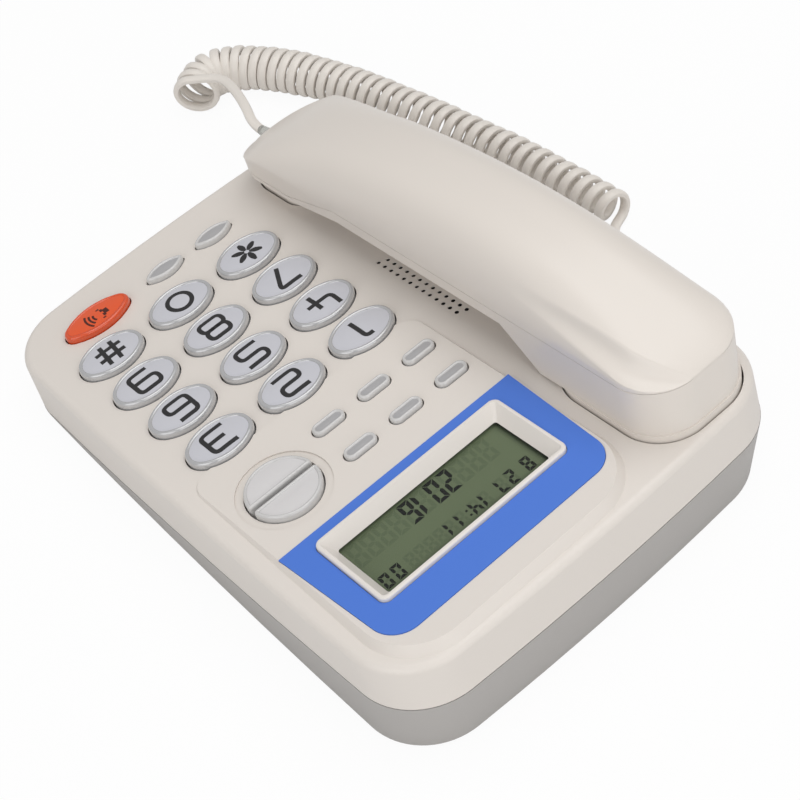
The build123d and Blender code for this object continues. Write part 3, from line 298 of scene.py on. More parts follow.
def moulded_surface() -> bpy.types.NodeTree:
    """Builds the pattern that all finishes share.

    A slow noise less a half, times the mottle, makes the colour lighter and darker, and shifts the roughness
    a little with it. A fine noise of the grain's size gives the height of the bumps.

    Returns:
        Node group with outputs Colour, Roughness and Height.
    """
    group = bpy.data.node_groups.new("MouldedSurface", "ShaderNodeTree")
    sockets = {"INPUT": (("Colour", "Color"), ("Size", "Float"), ("Mottle", "Float"), ("Roughness", "Float")),
               "OUTPUT": (("Colour", "Color"), ("Roughness", "Float"), ("Height", "Float"))}
    for side, labels in sockets.items():
        for label, kind in labels:
            group.interface.new_socket(label, in_out=side, socket_type="NodeSocket" + kind)
    given = add_node(group, "NodeGroupInput")
    spot = add_node(group, "ShaderNodeTexCoord")["Object"]
    per_metre = add_node(group, "ShaderNodeMath", {0: 1 / MM, 1: given["Size"]}, operation="DIVIDE")[0]
    fine = add_node(group, "ShaderNodeTexNoise", {"Vector": spot, "Scale": per_metre, "Detail": 3.0})["Fac"]
    slow = add_node(group, "ShaderNodeTexNoise", {"Vector": spot, "Scale": MOTTLE_RATE, "Detail": 2.0})["Fac"]
    swing = add_node(group, "ShaderNodeMath", {0: slow, 1: 0.5}, operation="SUBTRACT")[0]
    shifts = ((given["Mottle"], 1.0), (ROUGHNESS_SWING, given["Roughness"]))
    light, rough = (add_node(group, "ShaderNodeMath", {0: swing, 1: strength, 2: middle},
                             operation="MULTIPLY_ADD")[0] for strength, middle in shifts)
    tint = add_node(group, "ShaderNodeHueSaturation", {"Color": given["Colour"], "Value": light})["Color"]
    add_node(group, "NodeGroupOutput", {"Colour": tint, "Roughness": rough, "Height": fine})
    return group


@dataclass(frozen=True)
class Finish:
    """A moulded or coated surface.

    Attributes:
        name: Material name.
        colour: Base colour, sRGB.
        roughness: Middle roughness.
        grain: Height of the fine bump, mm.
        grain_size: Size of its bumps, mm.
        mottle: Strength of the slow colour change, to either side.
        metal: Metallic share.
        coat: Clear coat share.
        clear: Transmission share.
        alpha: Opacity.
    """

    name: str
    colour: Colour
    roughness: float = 0.4
    grain: float = 0.004
    grain_size: float = 0.35
    mottle: float = 0.02
    metal: float = 0.0
    coat: float = 0.0
    clear: float = 0.0
    alpha: float = 1.0

    COAT_ROUGHNESS = 0.08
    IOR = 1.46

    def linear(self) -> Tuple[float, ...]:
        """Converts the sRGB colour to linear light, with full alpha."""
        light = (part / 12.92 if part <= 0.04045 else ((part + 0.055) / 1.055) ** 2.4 for part in self.colour)
        return (*light, 1.0)


@dataclass
class Paints:
    """Makes each finish's material once and hands it out.

    Attributes:
        pattern: Surface pattern that all finishes share.
        made: Materials by the name of their finish.
    """

    pattern: bpy.types.NodeTree = field(default_factory=moulded_surface)
    made: Dict[str, bpy.types.Material] = field(default_factory=dict)

    def get(self, finish: Finish) -> bpy.types.Material:
        """Returns the material of a finish.

        Args:
            finish: Finish to build or look up.

        Returns:
            Its material.
        """
        if finish.name not in self.made:
            material = bpy.data.materials.new(finish.name)
            material.use_nodes = True
            tree = material.node_tree
            surface = add_node(tree, "ShaderNodeGroup", {
                "Colour": finish.linear(), "Size": finish.grain_size, "Mottle": finish.mottle * 2,
                "Roughness": finish.roughness,
            }, node_tree=self.pattern)
            bump = add_node(tree, "ShaderNodeBump", {
                "Height": surface["Height"], "Distance": finish.grain * MM, "Strength": 1.0,
            })
            feed(tree, tree.nodes["Principled BSDF"], {
                "Base Color": surface["Colour"], "Roughness": surface["Roughness"], "Normal": bump["Normal"],
                "Metallic": finish.metal, "Coat Weight": finish.coat, "Coat Roughness": finish.COAT_ROUGHNESS,
                "Transmission Weight": finish.clear, "IOR": finish.IOR, "Alpha": finish.alpha,
            })
            self.made[finish.name] = material
        return self.made[finish.name]

    def dress(self, piece: bpy.types.Object, finish: Finish, slot: Optional[str] = None) -> None:
        """Gives a piece one finish.

        Args:
            piece: New piece or CAD node.
            finish: Its finish.
            slot: Record slot of a new piece; not used.
        """
        material = self.get(finish)
        if piece.material_slots:
            for place in piece.material_slots:
                place.material = material
        else:
            piece.data.materials.append(material)


BEIGE = Finish("BeigeHousing", (0.865, 0.838, 0.810), roughness=0.36, grain=0.003, grain_size=0.3,
               mottle=0.006)
HANDSET_BEIGE = Finish("BeigeHandset", (0.872, 0.843, 0.812), roughness=0.30, grain=0.002, grain_size=0.3,
                       mottle=0.004)
GREY = Finish("GreyHousing", (0.672, 0.658, 0.645), roughness=0.42, grain=0.005, grain_size=0.3)
BEZEL = Finish("BezelBeige", (0.885, 0.862, 0.838), roughness=0.34, grain=0.002)
BLUE = Finish("BluePanel", (0.29, 0.47, 0.83), roughness=0.34, grain=0.002)
ORANGE = Finish("OrangeKey", (0.89, 0.33, 0.12), roughness=0.16, coat=0.6, grain=0.001)
SMOKED = Finish("SmokedKey", (0.66, 0.655, 0.66), roughness=0.22, coat=0.5, grain=0.002)
PALE_KEY = Finish("PaleRoundKey", (0.83, 0.82, 0.82), roughness=0.25, coat=0.5, grain=0.001)
KEY_FACE = Finish("KeyFace", (0.775, 0.775, 0.80), roughness=0.2, coat=0.7, grain=0.001)
SILVER = Finish("SilverRing", (0.74, 0.74, 0.745), roughness=0.12, metal=0.35, coat=0.9, grain=0.001)
SMOKED_RIM = Finish("SmokedRim", (0.78, 0.775, 0.77), roughness=0.12, coat=0.8, grain=0.001)
# Painted shade: dark rings between a key's rim and its dome stand for the shade and dark refraction at the
# clear rim's inner edge.
KEY_SHADE_LINE = Finish("KeyShadeLine", (0.34, 0.34, 0.35), roughness=0.3, grain=0.001)
# Painted shade: the orange key's rim is a darker copy of its orange, for the shade at its edge.
ORANGE_SHADED_RIM = Finish("OrangeShadedRim", (0.84, 0.30, 0.11), roughness=0.14, coat=0.8, grain=0.001)
# Painted shade: the orange key's dark ring between its rim and its dome.
ORANGE_SHADE_LINE = Finish("OrangeShadeLine", (0.52, 0.15, 0.05), roughness=0.3, grain=0.001)
ICON_INK = Finish("IconPrint", (0.30, 0.10, 0.05), roughness=0.45, grain=0.001)
INK = Finish("DarkPrint", (0.14, 0.135, 0.14), roughness=0.45, grain=0.001)
CORD = Finish("CordJacket", (0.895, 0.87, 0.84), roughness=0.33, grain=0.002)
CLEAR_PLUG = Finish("ClearPlug", (0.86, 0.86, 0.84), roughness=0.10, clear=0.7, grain=0.0005)
LCD_FACE = Finish("DisplayCell", (0.485, 0.545, 0.41), roughness=0.30, grain=0.0005, mottle=0.03)
LCD_GHOST = Finish("DisplayUnlit", (0.44, 0.50, 0.375), roughness=0.30, grain=0.0005)
LCD_INK = Finish("DisplaySegments", (0.035, 0.045, 0.035), roughness=0.7, grain=0.0005)
WINDOW = Finish("DisplayWindow", (0.20, 0.21, 0.20), roughness=0.05, alpha=0.14, grain=0.0003)
RUBBER = Finish("RubberFoot", (0.16, 0.16, 0.16), roughness=0.75, grain=0.02)
STEEL = Finish("ZincSteel", (0.62, 0.62, 0.62), roughness=0.35, metal=1.0, grain=0.002)
BOARD = Finish("CircuitBoard", (0.15, 0.36, 0.19), roughness=0.45, grain=0.006)
SILICONE = Finish("SiliconeMat", (0.76, 0.76, 0.75), roughness=0.6, grain=0.006)
DARK_METAL = Finish("SpeakerMetal", (0.14, 0.14, 0.145), roughness=0.4, metal=0.6, grain=0.004)
# Painted shade: the dark cups in the loudspeaker's holes stand for the shade inside them.
GRILLE_HOLE_SHADE = Finish("GrilleHoleShade", (0.10, 0.095, 0.09), roughness=0.8, grain=0.02)
DARK_PLASTIC = Finish("JackPlastic", (0.24, 0.235, 0.23), roughness=0.45, grain=0.004)
WHITE_PLASTIC = Finish("SwitchPlastic", (0.84, 0.83, 0.81), roughness=0.45, grain=0.004)

NODE_FINISHES: Dict[str, Finish] = {
    "display_cell": LCD_FACE, "display_board": BOARD, "main_board": BOARD, "keypad_mat": SILICONE,
    "rubber_feet": RUBBER, "housing_screws": STEEL, "handset_screws": STEEL, "ballast_plate": STEEL,
    "handset_weight": STEEL, "loudspeaker": DARK_METAL, "receiver": DARK_METAL, "microphone": STEEL,
    "hook_plunger": WHITE_PLASTIC, "hook_switch": DARK_PLASTIC, "handset_cord_jack": DARK_PLASTIC,
    "line_jack": DARK_PLASTIC, "handset_jack": DARK_PLASTIC, "plug_handset": CLEAR_PLUG,
    "plug_base": CLEAR_PLUG,
}
POLISHED: Dict[str, Tuple[Finish, str, str]] = {
    "bottom_shell": (GREY, "base", "grey_housing"), "top_shell": (BEIGE, "base", "beige_housing"),
    "display_surround": (BLUE, "base", "blue_panel"), "display_bezel": (BEZEL, "base", "beige_bezel"),
    "handset_inner_cover": (HANDSET_BEIGE, "handset", "beige_housing"),
}


# ------------------------------------------------------------------ stage
@dataclass(frozen=True)
class Studio:
    """Camera, floor and soft lights.

    Attributes:
        eye: Camera place, metres.
        right: Direction of the picture's right.
        up: Direction of the picture's top.
        lens: Focal length, mm on a 36 mm sensor.
        aim: Place that the lamps face, metres.
        lamps: Name, place, side in metres and power in watts of each square lamp.
        sky: Strength of the even sky.
        floor_half: Half side of the floor, metres.
        floor_white: Share of plain white in the floor that the camera sees; the rest keeps the shadow.
    """

    eye: Place = (0.1851, 0.32905, 0.45542)
    right: Place = (-0.73932, 0.65453, -0.1581)
    up: Place = (-0.58846, -0.51393, 0.62417)
    lens: float = 85.0
    aim: Place = (0, 0, 0.03)
    lamps: Tuple[Tuple[str, Place, float, float], ...] = (
        ("Key", (-0.25, 0.05, 0.95), 0.9, 4.6), ("Fill", (0.85, 0.35, 0.55), 0.8, 2.6),
        ("Rear", (0.1, 0.95, 0.45), 0.8, 2.0),
    )
    sky: float = 0.47
    floor_half: float = 3.0
    floor_white: float = 0.94

    def build(self) -> None:
        """Makes the camera, the lamps, the world and the floor."""
        bpy.context.scene.view_settings.view_transform = "Standard"
        self._camera()
        self._world()
        for name, place, side, power in self.lamps:
            self._lamp(name, place, side, power)
        self._floor()

    def _camera(self) -> None:
        """Adds the camera, its back square to the picture's right and top, and its top square to both."""
        right, up = Vector(self.right).normalized(), Vector(self.up).normalized()
        back = right.cross(up).normalized()
        up = back.cross(right)
        camera = bpy.data.objects.new("Camera", bpy.data.cameras.new("Camera"))
        camera.data.lens = self.lens
        camera.data.sensor_width = 36.0
        camera.data.clip_start = 0.01
        camera.matrix_world = Matrix.Translation(self.eye) @ Matrix((right, up, back)).transposed().to_4x4()
        bpy.context.scene.collection.objects.link(camera)
        bpy.context.scene.camera = camera

    def _lamp(self, name: str, place: Place, side: float, power: float) -> None:
        """Adds one square soft lamp aimed at the telephone.

        Args:
            name: Lamp name.
            place: Its place, metres.
            side: Its side, metres.
            power: Its power, watts.
        """
        data = bpy.data.lights.new(name, "AREA")
        data.size = side
        data.energy = power
        lamp = bpy.data.objects.new(name, data)
        lamp.location = place
        lamp.rotation_euler = (Vector(self.aim) - Vector(place)).to_track_quat("-Z", "Y").to_euler()
        bpy.context.scene.collection.objects.link(lamp)

    def _world(self) -> None:
        """Sets a dim even sky that shows white behind the object."""
        world = bpy.data.worlds.new("Studio")
        world.use_nodes = True
        bpy.context.scene.world = world
        tree = world.node_tree
        tree.nodes.clear()
        sky, plain = (add_node(tree, "ShaderNodeBackground", {"Color": (1, 1, 1, 1), "Strength": strength})[0]
                      for strength in (self.sky, 1.0))
        seen = add_node(tree, "ShaderNodeLightPath")["Is Camera Ray"]
        mix = add_node(tree, "ShaderNodeMixShader", {"Fac": seen, 1: sky, 2: plain})[0]
        add_node(tree, "ShaderNodeOutputWorld", {"Surface": mix})

    def _floor(self) -> None:
        """Adds a pale floor that shows white and keeps a faint shadow."""
        half = self.floor_half
        mesh = bpy.data.meshes.new("Floor")
        corners = [(-half, -half, 0), (half, -half, 0), (half, half, 0), (-half, half, 0)]
        mesh.from_pydata(corners, [], [(0, 1, 2, 3)])
        floor = bpy.data.objects.new("Floor", mesh)
        bpy.context.scene.collection.objects.link(floor)
        material = bpy.data.materials.new("FloorPaper")
        material.use_nodes = True
        tree = material.node_tree
        paper = tree.nodes["Principled BSDF"]
        feed(tree, paper, {"Base Color": (0.82, 0.82, 0.82, 1), "Roughness": 0.9})
        white = add_node(tree, "ShaderNodeEmission", {"Strength": 1.0})[0]
        seen = add_node(tree, "ShaderNodeLightPath")["Is Camera Ray"]
        share = add_node(tree, "ShaderNodeMath", {0: seen, 1: self.floor_white}, operation="MULTIPLY")[0]
        mix = add_node(tree, "ShaderNodeMixShader", {"Fac": share, 1: paper.outputs[0], 2: white})[0]
        feed(tree, tree.nodes["Material Output"], {"Surface": mix})
        floor.data.materials.append(material)


# ------------------------------------------------------------------ cord
@dataclass
class CurlyCord:
    """The cord: a tail from the housing, the coil and a tail to the handset, in one run. Its sizes are in mm.

    Attributes:
        paints: Material store.
        radius_base: From the coil's middle line to the wire's, near the housing.
        radius_ring: And at the open ring where the handset's tail starts.
        pitch_base: Spacing of the turns near the housing.
        pitch_ring: And at the open ring.
        wide: Width of the flattened wire.
        thick: Its thickness.
        rest_gap: Room between the coil and the table.
        wobble: Share and rate of each slow change of the coil's radius.
    """

    paints: Paints
    radius_base: float = 4.9
    radius_ring: float = 7.4
    pitch_base: float = 5.6
    pitch_ring: float = 3.8
    wide: float = 3.5
    thick: float = 2.4
    rest_gap: float = 0.55
    wobble: Tuple[Spot, ...] = ((0.015, 37.0), (0.012, 91.0))

    # The coil's middle line on the table, from the open ring to the housing: x, and y from the deck's middle.
    COIL_ROUTE = (
        (-51.0, -157.5), (-58.5, -164.5), (-70, -159), (-80, -145), (-88, -126), (-94, -104),
        (-98.5, -82), (-102.5, -60), (-106, -38), (-108, -16), (-109, 0),
    )
    BASE_EXIT = (-83.2, 21.54, 22.56)
    HAND_EXIT = (-47.6, -111.33, 22.72)
    LEAD = 5.0
    # Places between which the cord goes over from lying by the housing to rising to the handset, metres.
    RISE_START = (-0.0825, -0.15, 0.01)
    RISE_END = (-0.0478, -0.15, 0.01)
    ROUTE_POINTS = 600
    TURN_POINTS = 24
    BASE_POINTS = 40
    HAND_POINTS = 50
    SIDES = 12
    SQUARENESS = 0.8
    ALONG_AXIS = 0.3  # least sine of the angle between the wire and the coil's axis

    @staticmethod
    def _spline(name: str, points: Sequence[Sequence[float]]) -> np.ndarray:
        """Reads a smooth line from a NURBS curve through given control points.

        Args:
            name: Name of the helper curve.
            points: Control points, mm.

        Returns:
            Points along the curve, metres.
        """
        data = bpy.data.curves.new(name, "CURVE")
        data.dimensions = "3D"
        spline = data.splines.new("NURBS")
        spline.points.add(len(points) - 1)
        for point, place in zip(spline.points, points):
            point.co = (place[0] * MM, place[1] * MM, place[2] * MM, 1.0)
        spline.order_u = 3
        spline.use_endpoint_u = True
        spline.resolution_u = 24
        helper = bpy.data.objects.new(name, data)
        mesh = bpy.data.meshes.new_from_object(helper)
        line = np.empty(3 * len(mesh.vertices))
        mesh.vertices.foreach_get("co", line)
        bpy.data.objects.remove(helper)
        bpy.data.meshes.remove(mesh)
        return line.reshape(-1, 3)

    def _coil(self) -> Tuple[np.ndarray, np.ndarray]:
        """Winds the helix round the coil's middle line, from the housing's end to the open ring.

        Each point is the middle line's, plus the radius times the cosine of the angle to the side and its
        sine upward. The middle line lies at the coil's own outer radius over the table, and the place along
        it moves on a little faster where the pitch is wide.

        Returns:
            Points of the wire and the direction of the coil at each, metres.
        """
        radii = np.linspace(self.radius_base, self.radius_ring, len(self.COIL_ROUTE))
        route = [(x, y + DECK.middle_y, radius + self.thick / 2 + self.rest_gap)
                 for (x, y), radius in zip(self.COIL_ROUTE[::-1], radii)]
        middle = even_points(self._spline("CoilRoute", route), self.ROUTE_POINTS)
        turns = round(run_length(middle) / MM * 2 / (self.pitch_ring + self.pitch_base)) + 0.5
        share = np.linspace(0, 1, int(turns * self.TURN_POINTS) + 1)
        gain = (self.pitch_base - self.pitch_ring) / (self.pitch_base + self.pitch_ring)
        place = share + gain * share * (1 - share)
        steps = np.linspace(0, 1, self.ROUTE_POINTS)
        spot = np.stack([np.interp(place, steps, column) for column in middle.T], axis=1)
        axis = unit(np.gradient(spot, axis=0))
        aside = unit(np.stack([-axis[:, 1], axis[:, 0], np.zeros(len(axis))], axis=1))
        upward = np.cross(axis, aside)
        angle = (-math.pi / 2 - share * turns * 2 * math.pi)[:, None]
        radius = (self.radius_base + (self.radius_ring - self.radius_base) * place) * MM
        radius *= 1 + sum(part * np.sin(share * rate) for part, rate in self.wobble)
        return spot + radius[:, None] * (np.cos(angle) * aside + np.sin(angle) * upward), axis

    def _broad(self, tangent: np.ndarray, axis: np.ndarray) -> np.ndarray:
        """Finds the direction of the wire's broad side: the coil's axis less its share along the wire.

        Where the wire runs nearly along that axis, the direction is carried over from the point beside it.

        Args:
            tangent: Direction of the wire at each point.
            axis: Direction of the coil at each point.

        Returns:
            Unit directions across the wire.
        """
        broad = axis - (axis * tangent).sum(axis=1, keepdims=True) * tangent
        weak = np.flatnonzero(np.linalg.norm(broad, axis=1) < self.ALONG_AXIS)
        back = [(row, row + 1) for row in weak[::-1] if row + 1 < len(broad)]
        for row, beside in back + [(row, row - 1) for row in weak if row > 0]:
            broad[row] = broad[beside] - (broad[beside] @ tangent[row]) * tangent[row]
        return unit(broad)

    def _path(self) -> Tuple[np.ndarray, np.ndarray]:
        """Joins the housing's tail, the coil and the handset's tail.

        Returns:
            Points of the whole wire and the direction of the coil at each, metres.
        """
        wire, axis = self._coil()
        start, end = wire[0] / MM, wire[-1] / MM
        bx, by, bz = self.BASE_EXIT
        hx, hy, hz = self.HAND_EXIT
        base_tail = self._spline("BaseTail", [
            (bx, by, bz), (bx - 7, by, bz), (bx - 9.5, by - 2.5, bz - 9), (bx - 12.5, by - 8.5, bz - 18.5),
            (bx - 19.5, by - 16, 2.2), start + unit(wire[0] - wire[1]) * self.LEAD, start,
        ])
        hand_tail = self._spline("HandTail", [
            end, end + unit(wire[-1] - wire[-2]) * self.LEAD, (-58.0, -149, 18.2), (-56.0, -138, 20.2),
            (-51.5, -125, 22.5), (hx, hy - 5, hz), (hx, hy, hz),
        ])
        before = even_points(base_tail, self.BASE_POINTS)[:-1]
        after = even_points(hand_tail, self.HAND_POINTS)[1:]
        held = [np.repeat(axis[:1], len(before), axis=0), axis, np.repeat(axis[-1:], len(after), axis=0)]
        return np.concatenate([before, wire, after]), np.concatenate(held)

    def build(self) -> None:
        """The wire's section is a superellipse: the cosine and the sine of the angle round it are raised to a
        power below one, and scaled by half its width and half its thickness.
        """
        path, axis = self._path()
        tangent = unit(np.gradient(path, axis=0))
        broad = self._broad(tangent, axis)
        thin = np.cross(tangent, broad)
        turn = np.linspace(0, 2 * math.pi, self.SIDES, endpoint=False)
        across, through = (np.sign(part)[:, None] * np.abs(part)[:, None] ** self.SQUARENESS
                           for part in (np.cos(turn), np.sin(turn)))
        ring = (across * broad[:, None] * self.wide + through * thin[:, None] * self.thick) / 2 * MM
        cord = add_tubes("curly_cord", [path[:, None] + ring], None)
        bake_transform(cord)
        self.paints.dress(cord, CORD, "cord_jacket")
        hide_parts("cord_coil", "cord_handset_tail", "cord_base_tail")


# ------------------------------------------------------------------ keys
class Shape(Enum):
    """Plan of a key."""

    OVAL = "oval"
    LENS = "lens"
    CAPSULE = "capsule"
    NEAR_HALF = "near half of the round pair"
    FAR_HALF = "far half of the round pair"


Arc = Tuple[float, float, float, float, float]


@dataclass(frozen=True)
class KeyPlan:
    """Outline of a key, made of arcs that run counter-clockwise.

    Attributes:
        shape: Kind of outline.
        half_long: Half length along u, mm; the radius for the round pair.
        half_wide: Half width along v, mm.
        tip: Radius of its rounded tips, mm.
        split: Gap between the halves of the round pair, mm.
    """

    shape: Shape
    half_long: float
    half_wide: float
    tip: float = 1.1
    split: float = 1.4

    OVAL_TIP = 1.1  # the tip's radius against that of an ellipse
    TIP_SPENT = 0.85  # share of the smallest radius that an inset may use up
    POINTS = 96
    FEWEST = 5

    def _half_arcs(self) -> List[Arc]:
        """Lists the arcs of the round pair's far half: the big arc and two tips that touch it and the split.

        Returns:
            Centre u, centre v, radius, first and last angle of each arc.
        """
        rise = self.split / 2 + self.tip
        reach = math.sqrt((self.half_long - self.tip) ** 2 - rise ** 2)
        turn = math.atan2(rise, reach)
        return [(reach, rise, self.tip, -math.pi / 2, turn), (0, 0, self.half_long, turn, math.pi - turn),
                (-reach, rise, self.tip, math.pi - turn, 1.5 * math.pi)]

    def arcs(self) -> List[Arc]:
        """Lists the arcs of the outline.

        An oval and a lens have two long sides whose circles pass through the middles of the sides and touch
        the tips' circles. A lens's sides would meet at its tips, and an oval's touch tips that are rounder.

        Returns:
            Centre u, centre v, radius, first and last angle of each arc.
        """
        long, wide, pi = self.half_long, self.half_wide, math.pi
        if self.shape is Shape.CAPSULE:
            return [(long - wide, 0, wide, -pi / 2, pi / 2), (wide - long, 0, wide, pi / 2, 1.5 * pi)]
        if self.shape is Shape.FAR_HALF:
            return self._half_arcs()
        if self.shape is Shape.NEAR_HALF:
            return [(-u, -v, radius, start + pi, end + pi) for u, v, radius, start, end in self._half_arcs()]
        if self.shape is Shape.OVAL:
            tip = self.OVAL_TIP * wide ** 2 / long
            side = (long ** 2 + wide ** 2 - 2 * long * tip) / (2 * (wide - tip))
        else:
            tip = self.tip
            side = (long ** 2 + wide ** 2) / (2 * wide)
        drop = side - wide
        reach = math.sqrt((side - tip) ** 2 - drop ** 2)
        turn = math.atan2(drop, reach)
        return [(reach, 0, tip, -turn, turn), (0, -drop, side, turn, pi - turn),
                (-reach, 0, tip, pi - turn, pi + turn), (0, drop, side, pi + turn, 2 * pi - turn)]

    def centre(self) -> np.ndarray:
        """Finds the middle of the outline.

        Returns:
            Its u and v, mm from the key's place.
        """
        away = {Shape.FAR_HALF: 1, Shape.NEAR_HALF: -1}.get(self.shape, 0)
        return np.array([0.0, away * (self.split / 2 + self.half_long) / 2])

    def ring(self, inset: float) -> np.ndarray:
        """Samples the outline moved inward: each arc's radius less the inset.

        Past the tips' radius the outline shrinks towards its middle instead.

        Args:
            inset: Distance from the key's edge, mm; negative outside it.

        Returns:
            Places around the key, shape (n, 2), mm.
        """
        arcs = self.arcs()
        kept = min(inset, self.TIP_SPENT * min(radius for _, _, radius, _, _ in arcs))
        lengths = np.array([radius * (last - first) for _, _, radius, first, last in arcs])
        counts = np.maximum(self.FEWEST, np.round(self.POINTS * lengths / lengths.sum())).astype(int)
        outline = np.concatenate([arc_points(radius - kept, np.linspace(first, last, count), (u, v))
                                  for (u, v, radius, first, last), count in zip(arcs, counts)])
        if inset > kept:
            middle = self.centre()
            reach = np.abs(outline - middle).max(axis=0)
            outline = middle + (outline - middle) * (reach - (inset - kept)) / reach
        return outline


@dataclass(frozen=True)
class KeyLook:
    """Section of a key: a rounded rim and a shallow dome inside it, mm.

    Attributes:
        rim: Width of the rim.
        rise: Height of the rim's crest over the deck.
        round_h: Height of the rim's rounding.
        dish: Height of the dome's edge.
        crown: Height of the dome's middle.
        rim_finish: Finish of the rim.
        face_finish: Finish of the dome.
        shade_line_finish: Finish of the painted shade line between them.
        slot: Record slot of the key's pieces.
    """

    rim: float
    rise: float
    round_h: float
    dish: float
    crown: float
    rim_finish: Finish
    face_finish: Finish
    shade_line_finish: Finish
    slot: str


NUMBER_LOOK = KeyLook(rim=1.7, rise=1.72, round_h=1.35, dish=1.3, crown=1.75, rim_finish=SILVER,
                      face_finish=KEY_FACE, shade_line_finish=KEY_SHADE_LINE, slot="number_key")
LENS_LOOK = KeyLook(rim=1.5, rise=1.45, round_h=1.0, dish=1.05, crown=1.25, rim_finish=SMOKED_RIM,
                    face_finish=SMOKED, shade_line_finish=KEY_SHADE_LINE, slot="clear_grey_key")
CAPSULE_LOOK = KeyLook(rim=1.3, rise=1.45, round_h=1.0, dish=1.05, crown=1.2, rim_finish=SMOKED_RIM,
                       face_finish=SMOKED, shade_line_finish=KEY_SHADE_LINE, slot="clear_grey_key")
ORANGE_LOOK = KeyLook(rim=1.7, rise=1.72, round_h=1.3, dish=1.55, crown=1.78, rim_finish=ORANGE_SHADED_RIM,
                      face_finish=ORANGE, shade_line_finish=ORANGE_SHADE_LINE, slot="orange_key")
ROUND_LOOK = KeyLook(rim=1.5, rise=1.76, round_h=1.2, dish=1.3, crown=1.55, rim_finish=SMOKED_RIM,
                     face_finish=PALE_KEY, shade_line_finish=KEY_SHADE_LINE, slot="pale_key")


@dataclass(frozen=True)
class Stroke:
    """Line of a printed sign, mm from the key's middle.

    Attributes:
        points: Corners of the line, right and up.
        bend: Radius its corners are rounded to.
        width: Width of the line.
        closed: Whether it ends where it starts.
        taper: Share of the width left at both ends.
    """

    points: Sequence[Spot]
    bend: float = 1.7
    width: float = 1.55
    closed: bool = False
    taper: float = 1.0

    NEAR, FAR, CORNER = 0.31, 0.11, 0.58
    BEND_STEPS = 9
    STEP = 0.3
    FEWEST = 6

    def _bends(self) -> np.ndarray:
        """Rounds the corners with cubic curves between places one bend before and after each.

        A curve's inner control points are the weighted means of its near end, its far end and the corner.

        Returns:
            Points of the line.
        """
        corners = np.array(self.points, dtype=float)
        path = [corners[:1]]
        t = np.linspace(0, 1, self.BEND_STEPS)[:, None]
        for before, corner, after in zip(corners, corners[1:], corners[2:]):
            cut = min(self.bend, np.linalg.norm(before - corner) / 2, np.linalg.norm(after - corner) / 2)
            start, end = (corner + unit(leg - corner) * cut for leg in (before, after))
            first = self.NEAR * start + self.FAR * end + self.CORNER * corner
            second = self.FAR * start + self.NEAR * end + self.CORNER * corner
            path.append((1 - t) ** 3 * start + 3 * (1 - t) ** 2 * t * first + 3 * (1 - t) * t ** 2 * second
                        + t ** 3 * end)
        return np.concatenate(path + [corners[-1:]])

    def line(self) -> Tuple[np.ndarray, np.ndarray]:
        """Spaces points evenly; the width swells from its tapered ends with the sine of the share run.

        Returns:
            Points of the line, and at each the way to its left edge.
        """
        line = self._bends()
        line = even_points(line, max(self.FEWEST, int(run_length(line) / self.STEP)))
        heading = np.gradient(line, axis=0)
        if self.closed:
            heading[0] = heading[-1] = line[1] - line[-2]
        heading = unit(heading)
        bell = np.sin(np.linspace(0, math.pi, len(line)))
        width = self.width * (self.taper + (1 - self.taper) * bell)
        return line, np.stack([-heading[:, 1], heading[:, 0]], axis=1) * width[:, None] / 2


def sign_strokes(sign: str) -> List[Stroke]:
    """Draws a sign of the keypad in a squared, rounded style.

    Args:
        sign: One of the digits, star or hash.

    Returns:
        Its strokes.
    """
    if sign == "0":
        return [Stroke(arc_points(4.1, np.linspace(math.pi / 2, 2.5 * math.pi, 49)), bend=0.1, closed=True)]
    if sign == "star":
        ways = arc_points(1.0, np.radians(range(30, 390, 60)))
        return [Stroke(np.outer((0.8, 3.0, 5.2), way), bend=0.1, width=2.1, taper=0.4) for way in ways]
    a, b, m = 4.15, 4.4, 0.15  # half width, half height and height of the middle bar
    lines = {
        "1": [((-1.9, b - 0.3), (0.9, b - 0.3), (0.9, -b - 0.2))],
        "2": [((-a, b), (a, b), (a, m), (-a, m), (-a, -b), (a, -b))],
        "3": [((-a, b), (a, b), (a, -b), (-a, -b)), ((-2.2, m), (a - 0.5, m))],
        "4": [((-a, b + 0.7), (-a, -0.6), (a + 0.7, -0.6)), ((1.7, b - 1.7), (1.7, -b - 0.7))],
        "5": [((a, b), (-a, b), (-a, m + 0.3), (a, m + 0.3), (a, -b), (-a, -b))],
        "6": [((3.1, b), (-a, b), (-a, -b), (a, -b), (a, m), (-a + 0.5, m))],
        "7": [((-a, b), (a, b), (-0.9, -b - 0.7))],
        "8": [((0, b), (-a + 0.3, b), (-a + 0.3, m), (a - 0.3, m), (a - 0.3, b), (0, b)),
              ((0, m), (-a, m), (-a, -b), (a, -b), (a, m), (0, m))],
        "9": [((-3.1, -b), (a, -b), (a, b), (-a, b), (-a, -m), (a - 0.5, -m))],
        "hash": [((-1.3, b + 0.5), (-2.5, -b - 0.5)), ((2.6, b + 0.5), (1.4, -b - 0.5)),
                 ((-4.6, 1.8), (4.9, 1.8)), ((-4.9, -1.8), (4.6, -1.8))],
    }
    return [Stroke(points, closed=sign == "8") for points in lines[sign]]


def speaker_strokes() -> List[Stroke]:
    """Draws the loudspeaker sign of the orange key: its horn in three bars and three waves.

    Returns:
        Its strokes.
    """
    mouth, lift = -0.9, 0.8
    horn = [(-4.2, -2.4, 2.3), (-2.7, -1.7, 3.6), (-2.0, mouth, 5.4)]
    strokes = [Stroke(((left, lift), (right, lift)), width=width) for left, right, width in horn]
    sweep = np.radians(np.linspace(-36, 36, 13))
    waves = [arc_points(radius, sweep, (mouth, lift)) for radius in (2.3, 3.7, 5.1)]
    return strokes + [Stroke(wave, bend=0.1, width=0.75) for wave in waves]


